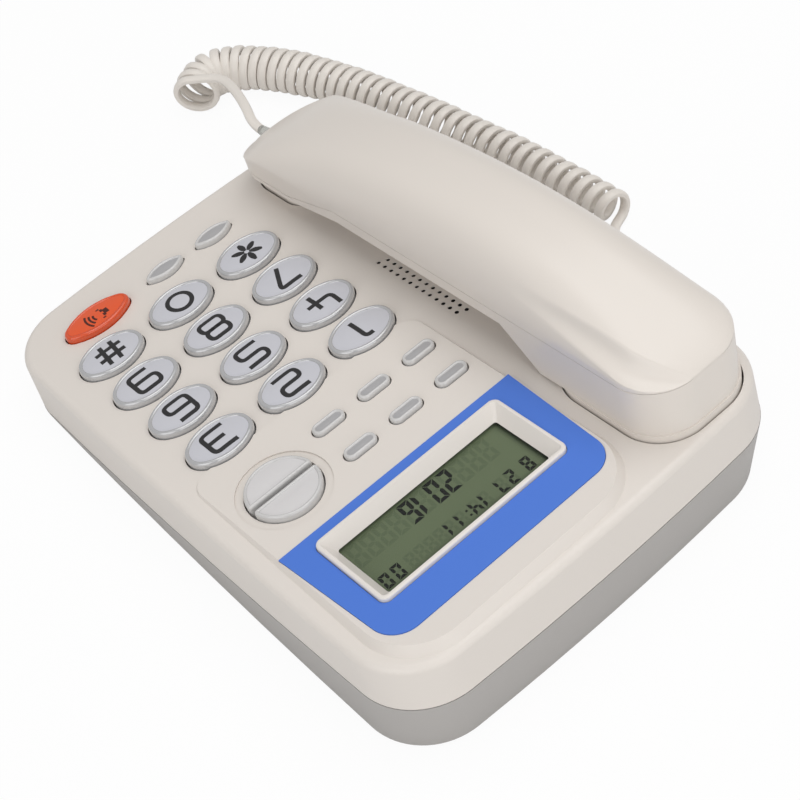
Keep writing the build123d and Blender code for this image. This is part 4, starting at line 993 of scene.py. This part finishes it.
@dataclass(frozen=True)
class Key:
    """One key: rim with its hidden flange, dome, a painted shade line between them, and print on the dome.

    Attributes:
        node: CAD node it stands for.
        plan: Outline.
        place: Its u and v on the deck, mm.
        look: Section and finishes.
        paints: Material store.
    """

    node: str
    plan: KeyPlan
    place: Spot
    look: KeyLook
    paints: Paints

    # Heights and distances in mm; LINE is outward from the dome's edge and up from the painted shade line's
    # level.
    FLANGE = 1.2
    FLANGE_LOW = -5.63
    RIM_STEPS = 15
    RIM_FULLNESS = 0.85
    DOME_STEPS = 9
    DOME_REACH = 0.97
    DOME_TUCK = 0.3
    DOME_FOOT = 0.05
    LINE_HIGH = 0.55
    LINE = ((0.48, -0.5), (0.42, 0.08), (0.2, 0.08), (0.2, -0.5), (0.48, -0.5))
    PRINT_TOP = 0.035
    PRINT_LOW = -0.15

    def height(self, spots: np.ndarray) -> np.ndarray:
        """Finds the dome's height over the deck.

        It falls from the crown to the dish with the square of the distance from the middle, as a share of the
        distance to the dome's edge along u and along v.

        Args:
            spots: Places from the key's place, shape (n, 2), mm.

        Returns:
            Heights, mm.
        """
        middle = self.plan.centre()
        reach = np.abs(self.plan.ring(self.look.rim) - middle).max(axis=0)
        share = (((spots - middle) / reach) ** 2).sum(axis=1)
        return self.look.dish + (self.look.crown - self.look.dish) * np.clip(1 - share, 0, 1)

    def _over(self, spots: np.ndarray, height: Union[float, np.ndarray]) -> np.ndarray:
        """Lifts places of the key over the deck.

        Args:
            spots: Places from the key's place, shape (n, 2), mm.
            height: Height over the deck, for all or for each, mm.

        Returns:
            Deck places, shape (n, 3), mm.
        """
        return np.column_stack([spots + np.array(self.place), np.broadcast_to(height, len(spots))])

    def _levels(self, levels: Sequence[Spot]) -> np.ndarray:
        """Stacks outlines of the key.

        Args:
            levels: Distance from the key's edge and height over the deck of each, mm.

        Returns:
            Deck places, shape (levels, n, 3), mm.
        """
        return np.stack([self._over(self.plan.ring(inset), height) for inset, height in levels])

    def _add(self, part: str, tubes: Sequence[np.ndarray], finish: Finish, sharp: float) -> bpy.types.Object:
        """Adds one piece of the key and dresses it.

        Args:
            part: Ending of its name.
            tubes: Deck places of its tubes, mm.
            finish: Its finish.
            sharp: Edge angle in degrees above which shading breaks.

        Returns:
            The piece.
        """
        placed = [DECK.points(tube) for tube in tubes]
        piece = add_tubes(f"{self.node}_{part}", placed, self.node + "_body", sharp)
        self.paints.dress(piece, finish, self.look.slot)
        return piece

    def build(self) -> None:
        """Makes the rim, the dome and the painted shade line between them.

        Across the rim the inset follows half its width times one less the cosine of the angle, and the height
        follows the sine raised to a power a little below one.
        """
        look, low = self.look, self.FLANGE_LOW
        base = look.rise - look.round_h
        turn = np.linspace(0, math.pi, self.RIM_STEPS)
        insets = look.rim / 2 * (1 - np.cos(turn))
        heights = base + look.round_h * np.sin(turn) ** self.RIM_FULLNESS
        flange = [(-self.FLANGE, low), (-self.FLANGE, low + self.FLANGE), (0.0, low + self.FLANGE)]
        rim = self._add("cap", [self._levels([*flange, *zip(insets, heights)])], look.rim_finish, ROUND_EDGE)
        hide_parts(self.node)

        edge, middle = self.plan.ring(look.rim - self.DOME_TUCK), self.plan.centre()
        shares = 1 - np.linspace(0, self.DOME_REACH, self.DOME_STEPS)
        rings = [middle + (edge - middle) * share for share in shares]
        foot = self._over(edge, base + self.DOME_FOOT)
        dome = np.stack([foot, *(self._over(ring, self.height(ring)) for ring in rings)])
        self._add("face", [dome], look.face_finish, ROUND_EDGE)

        # Painted shade: a dark ring at the rim's inner foot stands for the shade and dark refraction there.
        high = base + self.LINE_HIGH * look.round_h
        line = self._levels([(look.rim - outward, high + rise) for outward, rise in self.LINE])
        self._add("line", [line], look.shade_line_finish, THIN_EDGE)

    def print_sign(self, strokes: Sequence[Stroke], finish: Finish) -> None:
        """Prints strokes on the dome, each a flat bar that follows the dome's height.

        Args:
            strokes: Centre lines with their widths.
            finish: Finish of the print.
        """
        tubes = []
        for stroke in strokes:
            centre, side = stroke.line()
            edges = [(centre + side, self.PRINT_TOP), (centre - side, self.PRINT_TOP),
                     (centre - side, self.PRINT_LOW), (centre + side, self.PRINT_LOW)]
            rows = [self._over(spots, self.height(spots) + lift) for spots, lift in edges]
            tubes.append(np.stack(rows, axis=1))
        self._add("print", tubes, finish, PLAIN_EDGE)


@dataclass
class Keypad:
    """All keys of the deck, with their places and half sizes in mm.

    Attributes:
        paints: Material store.
        middle: Middle of the number block.
        pitch: Steps of its columns and rows.
        number: Half length and half width of a number key.
        near_v: Place of the near row.
        lens_u: Places of the two lens keys along it.
        lens: Half length and half width of a lens key.
        orange_u: Place of the orange key along it.
        orange: Its half length and half width.
        capsule_u: Columns of the six small keys.
        capsule_v: Rows of the six small keys.
        capsule: Half length and half width of a small key.
        round_place: Middle of the split round key.
        round_r: Its radius.
    """

    paints: Paints
    middle: Spot = (21.35, -36.2)
    pitch: Spot = (28.0, 19.82)
    number: Spot = (11.6, 8.25)
    near_v: float = -84.6
    lens_u: Spot = (-5.6, 14.7)
    lens: Spot = (7.8, 3.3)
    orange_u: float = 42.5
    orange: Spot = (12.4, 6.1)
    capsule_u: Place = (-11.4, 6.5, 24.2)
    capsule_v: Spot = (15.2, 30.2)
    capsule: Spot = (5.7, 2.4)
    round_place: Spot = (48.7, 24.4)
    round_r: float = 11.8

    ROWS = (("1", "2", "3"), ("4", "5", "6"), ("7", "8", "9"), ("star", "0", "hash"))

    def _key(self, node: str, shape: Shape, half: Spot, place: Spot, look: KeyLook) -> Key:
        """Makes one key.

        Args:
            node: CAD node it stands for.
            shape: Kind of outline.
            half: Its half length and half width, mm.
            place: Its u and v, mm.
            look: Section and finishes.

        Returns:
            The key.
        """
        key = Key(node, KeyPlan(shape, *half), place, look, self.paints)
        key.build()
        return key

    def build(self) -> None:
        """Makes the number keys, the near row, the small keys and the round pair."""
        for row, signs in enumerate(self.ROWS):
            for column, sign in enumerate(signs):
                u = self.middle[0] + (column - 1) * self.pitch[0]
                v = self.middle[1] + (1.5 - row) * self.pitch[1]
                key = self._key("key_" + sign, Shape.OVAL, self.number, (u, v), NUMBER_LOOK)
                key.print_sign(sign_strokes(sign), INK)
        for side, u in zip(("left", "right"), self.lens_u):
            self._key("key_lens_" + side, Shape.LENS, self.lens, (u, self.near_v), LENS_LOOK)
        place = (self.orange_u, self.near_v)
        orange = self._key("key_handsfree", Shape.OVAL, self.orange, place, ORANGE_LOOK)
        orange.print_sign(speaker_strokes(), ICON_INK)
        places = [(u, v) for v in self.capsule_v for u in self.capsule_u]
        for number, place in enumerate(places, start=1):
            self._key(f"key_small_{number}", Shape.CAPSULE, self.capsule, place, CAPSULE_LOOK)
        for node, shape in (("key_down", Shape.NEAR_HALF), ("key_up", Shape.FAR_HALF)):
            self._key(node, shape, (self.round_r, self.round_r), self.round_place, ROUND_LOOK)


# ------------------------------------------------------------------ display
@dataclass(frozen=True)
class DigitRow:
    """Row of seven-segment digits on the display, mm on the deck.

    Attributes:
        text: Digit of each place; a blank leaves the place unlit.
        starts: Left edge of each place.
        low: Lower edge.
        wide: Width of a digit.
        tall: Height of a digit.
        bar: Width of a segment.
        slant: Shift of the top against the bottom.
        gaps: Numbers of the places that have no segments at all.
    """

    text: str
    starts: Tuple[float, ...]
    low: float
    wide: float
    tall: float
    bar: float
    slant: float
    gaps: Tuple[int, ...] = ()

    LIT = {"0": "abcdef", "1": "bc", "2": "abged", "3": "abgcd", "4": "fgbc", "5": "afgcd", "6": "afgedc",
           "7": "abc", "8": "abcdefg", "9": "abcdfg", " ": ""}
    CLEARANCE = 0.12

    def bars(self, start: float) -> Dict[str, np.ndarray]:
        """Outlines the seven bars of one place, chamfered where they meet.

        The upright bars mirror each other, and so do the top and the bottom bar. Each point is shifted by the
        slant times its share of the height.

        Args:
            start: Left edge of the place, mm.

        Returns:
            Corners of each bar, mm.
        """
        t, high, mid, gap = self.bar, self.tall, self.tall / 2, self.CLEARANCE * self.bar
        left, right = gap + t, self.wide - gap - t
        upright = np.array([(0, high - gap), (t, high - gap - t), (t, mid + gap + t / 2), (t / 2, mid + gap),
                            (0, mid + gap + t / 2)])
        top = np.array([(gap, high), (self.wide - gap, high), (right, high - t), (left, high - t)])
        middle = np.array([(left - t / 2, mid), (left, mid + t / 2), (right, mid + t / 2),
                           (right + t / 2, mid), (right, mid - t / 2), (left, mid - t / 2)])
        lower, bottom = (corners * (1, -1) + (0, high) for corners in (upright, top))
        far, far_lower = (corners * (-1, 1) + (self.wide, 0) for corners in (upright, lower))
        shapes = {"a": top, "b": far, "c": far_lower, "d": bottom, "e": lower, "f": upright, "g": middle}
        return {name: corners + np.outer(corners[:, 1], (self.slant / high, 0)) + (start, self.low)
                for name, corners in shapes.items()}


@dataclass
class Display:
    """Digits of the liquid crystal cell, lit and unlit, and the pane over it. Sizes in mm on the deck.

    Attributes:
        paints: Material store.
        face_w: Height of the cell's face.
        lit_h: Height of the lit segments over it.
        unlit_h: Height of the unlit segments over it.
        sunk: Depth of all segments into it.
        rows: Rows of digits.
        colon: Left edge and side of the colon's dots.
        colon_shares: Their lower edges, as shares of the upper row's height.
        shades: For each axis of the shared frame, where the frame's shade over the cell starts and is full.
        shade_left: Share of the light left in the full shade.
        pane: Middle and half sizes of the pane.
        pane_w: Height of its underside and its top.
        pane_ease: Easing of its upper edges.
        pane_corner: Radius of its corners.
    """

    paints: Paints
    face_w: float = -3.7
    lit_h: float = 0.03
    unlit_h: float = 0.015
    sunk: float = 0.1
    rows: Tuple[DigitRow, ...] = (
        DigitRow(
            "8 27 14 11     00",
            (-5.1, -1.9, 1.1, 5.0, 8.0, 11.1, 14.9, 18.2, 20.2, 24.2, 27.9, 31.5, 35.1, 38.7, 41.0, 43.6,
             47.9),
            low=67.9, wide=3.0, tall=5.5, bar=0.95, slant=0.35, gaps=(1, 4, 7, 14),
        ),
        DigitRow("   2016    ", tuple(4.85 * place - 1.9 for place in range(11)),
                 low=52.9, wide=4.1, tall=9.0, bar=1.25, slant=0.6),
    )
    colon: Spot = (18.9, 0.7)
    colon_shares: Spot = (0.28, 0.66)
    shades: Tuple[Tuple[str, float, float], ...] = (("Y", 70.5, 74.8), ("X", -5.8, -9.0))
    shade_left: float = 0.12
    pane: Tuple[float, float, float, float] = (22.1, 63.9, 31.9, 13.2)
    pane_w: Spot = (-3.55, -2.5)
    pane_ease: float = 0.15
    pane_corner: float = 0.4

    CORNER_POINTS = 48

    def _plates(self, name: str, outlines: Sequence[np.ndarray], lift: float, finish: Finish) -> None:
        """Makes thin plates on the cell from outlines.

        Args:
            name: Piece name.
            outlines: Corners of each plate, mm.
            lift: Height of the plates' faces over the cell, mm.
            finish: Their finish.
        """
        plates = [np.stack([np.column_stack([outline, np.full(len(outline), self.face_w + height)])
                            for height in (lift, -self.sunk)]) for outline in outlines]
        piece = add_tubes(name, [DECK.points(plate) for plate in plates], "base", THIN_EDGE)
        self.paints.dress(piece, finish, "display_glass_cell")

    def build(self) -> None:
        """Makes the lit and the unlit segments, the shade of the frame and the pane."""
        lit, unlit = [], []
        for row in self.rows:
            for number, (sign, start) in enumerate(zip(row.text, row.starts)):
                for name, corners in row.bars(start).items() if number not in row.gaps else ():
                    (lit if name in row.LIT[sign] else unlit).append(corners)
        left, side = self.colon
        for share in self.colon_shares:
            low = self.rows[0].low + share * self.rows[0].tall
            lit.append((left, low) + side * np.array([(0, 0), (1, 0), (1, 1), (0, 1)]))
        self._shade_cell()
        self._plates("display_digits", lit, self.lit_h, LCD_INK)
        self._plates("display_unlit", unlit, self.unlit_h, LCD_GHOST)
        self._pane()

    def _shade_cell(self) -> None:
        """Darkens the cell softly towards its far edge and its left edge, under the frame."""
        tree = self.paints.get(LCD_FACE).node_tree
        shader = tree.nodes["Principled BSDF"]
        colour = shader.inputs["Base Color"].links[0].from_socket
        spot = add_node(tree, "ShaderNodeTexCoord")["Object"]
        along = add_node(tree, "ShaderNodeSeparateXYZ", {0: spot})
        light = [add_node(tree, "ShaderNodeMapRange", {
            "Value": along[axis], "From Min": start * MM, "From Max": end * MM,
            "To Min": 1.0, "To Max": self.shade_left,
        }, interpolation_type="SMOOTHSTEP")["Result"] for axis, start, end in self.shades]
        both = add_node(tree, "ShaderNodeMath", dict(enumerate(light)), operation="MULTIPLY")[0]
        tint = add_node(tree, "ShaderNodeMix", {"Factor": 1.0, "A": colour, "B": both}, data_type="RGBA",
                        blend_type="MULTIPLY")["Result"]
        feed(tree, shader, {"Base Color": tint})

    def _pane(self) -> None:
        """Makes the clear pane over the cell, its upper edges eased.

        Its outline is a small circle whose quarters are moved apart to the pane's four corners.
        """
        u, v, half_u, half_v = self.pane
        low, top = self.pane_w
        turn = np.arange(self.CORNER_POINTS) * 2 * math.pi / self.CORNER_POINTS
        circle = np.stack([np.cos(turn), np.sin(turn)], axis=1)
        quarter = np.sign(np.round(circle, 9))
        rings = []
        for height, inset in ((low, 0.0), (top - self.pane_ease, 0.0), (top, self.pane_ease)):
            reach = np.array([half_u, half_v]) - inset - self.pane_corner
            spots = (u, v) + quarter * reach + circle * self.pane_corner
            rings.append(np.column_stack([spots, np.full(len(spots), height)]))
        pane = add_tubes("display_pane", [DECK.points(np.stack(rings))], "base", THIN_EDGE)
        self.paints.dress(pane, WINDOW, "display_window")
        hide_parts("display_window")


# ------------------------------------------------------------------ handset
@dataclass
class Handset:
    """Smooth back of the handset with the soft flat on its key side.

    Sizes are in mm from its middle line, along the deck (v) and out of it (w).

    Attributes:
        paints: Material store.
        middle: Its middle line's u.
        mouth: v of its mouth end.
        ear: v of its ear end.
        half: Half width.
        apex: v and w of the highest point of its back.
        bend_mouth: Radius of the back from the apex to the mouth end.
        bend_ear: And to the ear end.
        corner: Radius of the ends' corners in plan at the joint.
        crown_corner: And above it, at the mouth end.
        nose_mouth: Length and fullness of the rounding into the mouth end.
        nose_ear: And into the ear end.
        joint: Height of the joint between the covers.
        joint_mouth: Its height at the mouth end.
        joint_slope: v where the joint starts and ends to rise.
        crease: Height of the flanks under the rounded back.
        across: Fullness of the back's section, sideways and upward.
        lean: Lean of the flanks under the joint's height, degrees.
        flat_v: Places along the handset where the flat's edges are given.
        flat_low: Distance of its lower edge from the middle line there.
        flat_high: And of its upper edge.
        flat_start: v where the flat starts and is full.
        hollow: Depth of the flat's hollow.
    """

    paints: Paints
    middle: float = -47.6
    mouth: float = -100.0
    ear: float = 100.7
    half: float = 20.0
    apex: Spot = (18.0, 39.3)
    bend_mouth: float = 304.0
    bend_ear: float = 176.0
    corner: float = 15.0
    crown_corner: float = 19.5
    nose_mouth: Spot = (32.0, 2.15)
    nose_ear: Spot = (9.0, 2.2)
    joint: float = 16.5
    joint_mouth: float = 9.5
    joint_slope: Spot = (-67.4, -40.0)
    crease: float = 17.0
    across: Spot = (3.07, 1.7)
    lean: float = 1.5
    flat_v: Tuple[float, ...] = (40.0, 56.0, 70.0, 86.0, 94.0, 101.0)
    flat_low: Tuple[float, ...] = (18.3, 18.7, 19.2, 19.75, 19.95, 19.97)
    flat_high: Tuple[float, ...] = (16.2, 15.8, 14.5, 12.6, 11.1, 10.2)
    flat_start: Spot = (42.0, 80.0)
    hollow: float = 1.1

    WALL_STEPS = 4
    LOW_STEPS = 7
    FLAT_STEPS = 12
    TOP_STEPS = 22
    BODY_ROWS = 64
    NOSE_ROWS = 16
    NOSE_TIP = 0.03  # first angle of a nose, radians
    LEAST_BACK = 3.5  # least height of the rounded back over the crease, mm
    LEAST_FLANK = 0.12  # least share of the height that the flank takes
    WIDEST = 0.999  # share of the half width at which the rounded back may start
    CROWN_RISE = 0.45  # sine of the angle at which the crown's corners are full
    HOLLOW_POWER = 1.5
    EDGE = 38.0

    def _places(self) -> Tuple[np.ndarray, np.ndarray]:
        """Chooses the sections along the handset.

        Towards an end, the share of the height is the sine of an angle and the place is the nose's length
        times one less its cosine, both raised to two over the fullness, as on a superellipse.

        Returns:
            Their v, and the share of the full height that the ends' rounding leaves there.
        """
        turn = np.linspace(self.NOSE_TIP, math.pi / 2, self.NOSE_ROWS)
        ends, shares = [], []
        for (length, full), end, inward in ((self.nose_mouth, self.mouth, 1), (self.nose_ear, self.ear, -1)):
            ends.append(end + inward * length * (1 - np.cos(turn) ** (2 / full)))
            shares.append(np.sin(turn) ** (2 / full))
        body = np.linspace(ends[0][-1], ends[1][-1], self.BODY_ROWS + 2)[1:-1]
        v = np.concatenate([ends[0], body, ends[1][::-1]])
        return v, np.concatenate([shares[0], np.ones(len(body)), shares[1][::-1]])

    def _half(self, v: np.ndarray, corner: Union[float, np.ndarray]) -> np.ndarray:
        """Finds the half width of the handset's plan, a bar whose corners are quarter circles.

        Args:
            v: Places along the handset, mm.
            corner: Radius of the plan's corners, mm.

        Returns:
            Half widths, mm.
        """
        away = np.minimum(np.minimum(v - self.mouth, self.ear - v), corner)
        return self.half - corner + np.sqrt(np.clip(corner ** 2 - (corner - away) ** 2, 0, None))

    def _flatten(self, flank: np.ndarray, weight: np.ndarray) -> None:
        """Draws the flat into the key side's flank.

        The flat is the straight line between its edges, pressed in by the hollow times the sine of the share
        along it to a power, and it is mixed with the plain flank by its weight.

        Args:
            flank: Sections' key side, shape (sections, n, 2), mm; it is changed.
            weight: Strength of the flat in each section.
        """
        first = self.WALL_STEPS + self.LOW_STEPS
        last = first + self.FLAT_STEPS
        along = np.linspace(0, 1, self.FLAT_STEPS + 1)[:, None]
        span = flank[:, last] - flank[:, first]
        inward = unit(span)[:, ::-1] * (-1, 1)
        inward *= np.where(inward[:, :1] > 0, -1, 1)
        dent = self.hollow * np.sin(math.pi * along) ** self.HOLLOW_POWER
        chord = flank[:, first, None] + span[:, None] * along + inward[:, None] * dent
        weight = weight[:, None, None]
        flank[:, first:last + 1] = flank[:, first:last + 1] * (1 - weight) + chord * weight

    def _sections(self) -> np.ndarray:
        """Draws the closed sections across the handset.

        A flank rises from the joint to the crease. Above it the back is a superellipse: the cosine of the
        angle carries the half width and its sine the height, each raised to two over its fullness. The full
        height is an arc on each side of the apex.

        Returns:
            Deck places, shape (sections, n, 3), mm.
        """
        v, share = self._places()
        run = v - self.apex[0]
        bend = np.where(run > 0, self.bend_ear, self.bend_mouth)
        full = self.apex[1] - bend + np.sqrt(bend ** 2 - run ** 2)
        low = np.interp(v, self.joint_slope, (self.joint_mouth, self.joint))
        flank = (np.minimum(self.crease, full - self.LEAST_BACK) - low) / (full - low)
        crease = low + np.maximum(self.LEAST_FLANK, flank) * (full - low) * share
        top = low + (full - low) * share
        half = self._half(v, self.corner)[:, None]
        crown = self._half(v, np.where(run < 0, self.crown_corner, self.corner))[:, None]
        side, up = self.across
        edges = [np.interp(v, self.flat_v, line) / self.half for line in (self.flat_low, self.flat_high)]
        stops = [np.arccos(np.minimum(edge, self.WIDEST) ** (side / 2)) for edge in edges]
        stops = [np.zeros(len(v)), *stops, np.full(len(v), math.pi / 2)]
        steps = (self.LOW_STEPS, self.FLAT_STEPS, self.TOP_STEPS)
        turn = np.concatenate([np.linspace(start, end, count, endpoint=False, axis=1)
                               for start, end, count in zip(stops, stops[1:], steps)], axis=1)
        rise = smooth_step(np.sin(turn), 0.0, self.CROWN_RISE)
        out = (half + (crown - half) * rise) * np.cos(turn) ** (2 / side)
        high = crease[:, None] + (top - crease)[:, None] * np.sin(turn) ** (2 / up)
        wall = np.linspace(low, crease, self.WALL_STEPS, endpoint=False, axis=1)
        leaning = half - np.clip(self.joint - wall, 0, None) * math.tan(math.radians(self.lean))
        plain = np.concatenate([np.stack([leaning, wall], axis=-1), np.stack([out, high], axis=-1)], axis=1)
        flat = plain.copy()
        self._flatten(flat, smooth_step(v, *self.flat_start) * share ** 2)
        crest = np.stack([np.zeros(len(v)), top], axis=-1)[:, None]
        ring = np.concatenate([flat, crest, plain[:, ::-1] * (-1, 1)], axis=1)
        along = np.broadcast_to(v[:, None], ring.shape[:2])
        return np.stack([self.middle + ring[..., 0], along, ring[..., 1]], axis=-1)

    def build(self) -> None:
        """Makes the back as one closed piece."""
        back = add_tubes("handset_back", [DECK.points(self._sections())], "handset", self.EDGE)
        self.paints.dress(back, HANDSET_BEIGE, "beige_housing")
        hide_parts("handset_outer_cover")


# ------------------------------------------------------------------ housing
@dataclass
class Housing:
    """The two housings, the display's parts and the inner pieces, dressed in their finishes.

    Attributes:
        paints: Material store.
        first_hole: u and v of the loudspeaker's first hole, mm.
        hole_pitch: Steps of its columns and rows, mm.
        hole_count: Columns and rows.
        cup: Radius and height of each ring of the dark cup in a hole, mm.
    """

    paints: Paints
    first_hole: Spot = (-30.6, -27.0)
    hole_pitch: Spot = (2.7, 3.15)
    hole_count: Tuple[int, int] = (6, 13)
    cup: Tuple[Spot, ...] = ((0.69, -2.4), (0.69, -0.95), (0.62, -0.95), (0.6, -1.9))

    HOLE_POINTS = 16

    def shade_grille_holes(self) -> None:
        """Puts dark cups into the loudspeaker's holes, sunk a little under the deck, as painted shade inside
        the holes.

        Every other column of holes is shifted by half a row.
        """
        turn = np.arange(self.HOLE_POINTS) * 2 * math.pi / self.HOLE_POINTS
        cup = np.stack([np.column_stack([arc_points(radius, turn), np.full(len(turn), height)])
                        for radius, height in self.cup])
        columns, rows = (np.arange(count) for count in self.hole_count)
        u = self.first_hole[0] - columns * self.hole_pitch[0]
        v = self.first_hole[1] + (rows + 0.5 * (columns[:, None] % 2)) * self.hole_pitch[1]
        holes = np.stack([np.broadcast_to(u[:, None], v.shape), v, np.zeros(v.shape)], axis=-1)
        # Painted shade inside the holes.
        hole_shade = add_tubes("grille_hole_shade", list(DECK.points(cup + holes.reshape(-1, 1, 1, 3))), "base")
        self.paints.dress(hole_shade, GRILLE_HOLE_SHADE, "speaker_metal")

    def dress(self) -> None:
        """Polishes the large mouldings and gives every other CAD node that stays its finish."""
        for node, (finish, body, slot) in POLISHED.items():
            self.paints.dress(polish_copy(node, body), finish, slot)
        for node, finish in NODE_FINISHES.items():
            self.paints.dress(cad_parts[node], finish)


def main() -> None:
    """Builds the telephone's looks in order."""
    logging.basicConfig(level=logging.INFO)
    paints = Paints()
    Studio().build()
    CurlyCord(paints).build()
    housing = Housing(paints)
    housing.dress()
    housing.shade_grille_holes()
    Handset(paints).build()
    Keypad(paints).build()
    Display(paints).build()
    LOG.info("telephone ready")


if __name__ == "__main__":
    main()
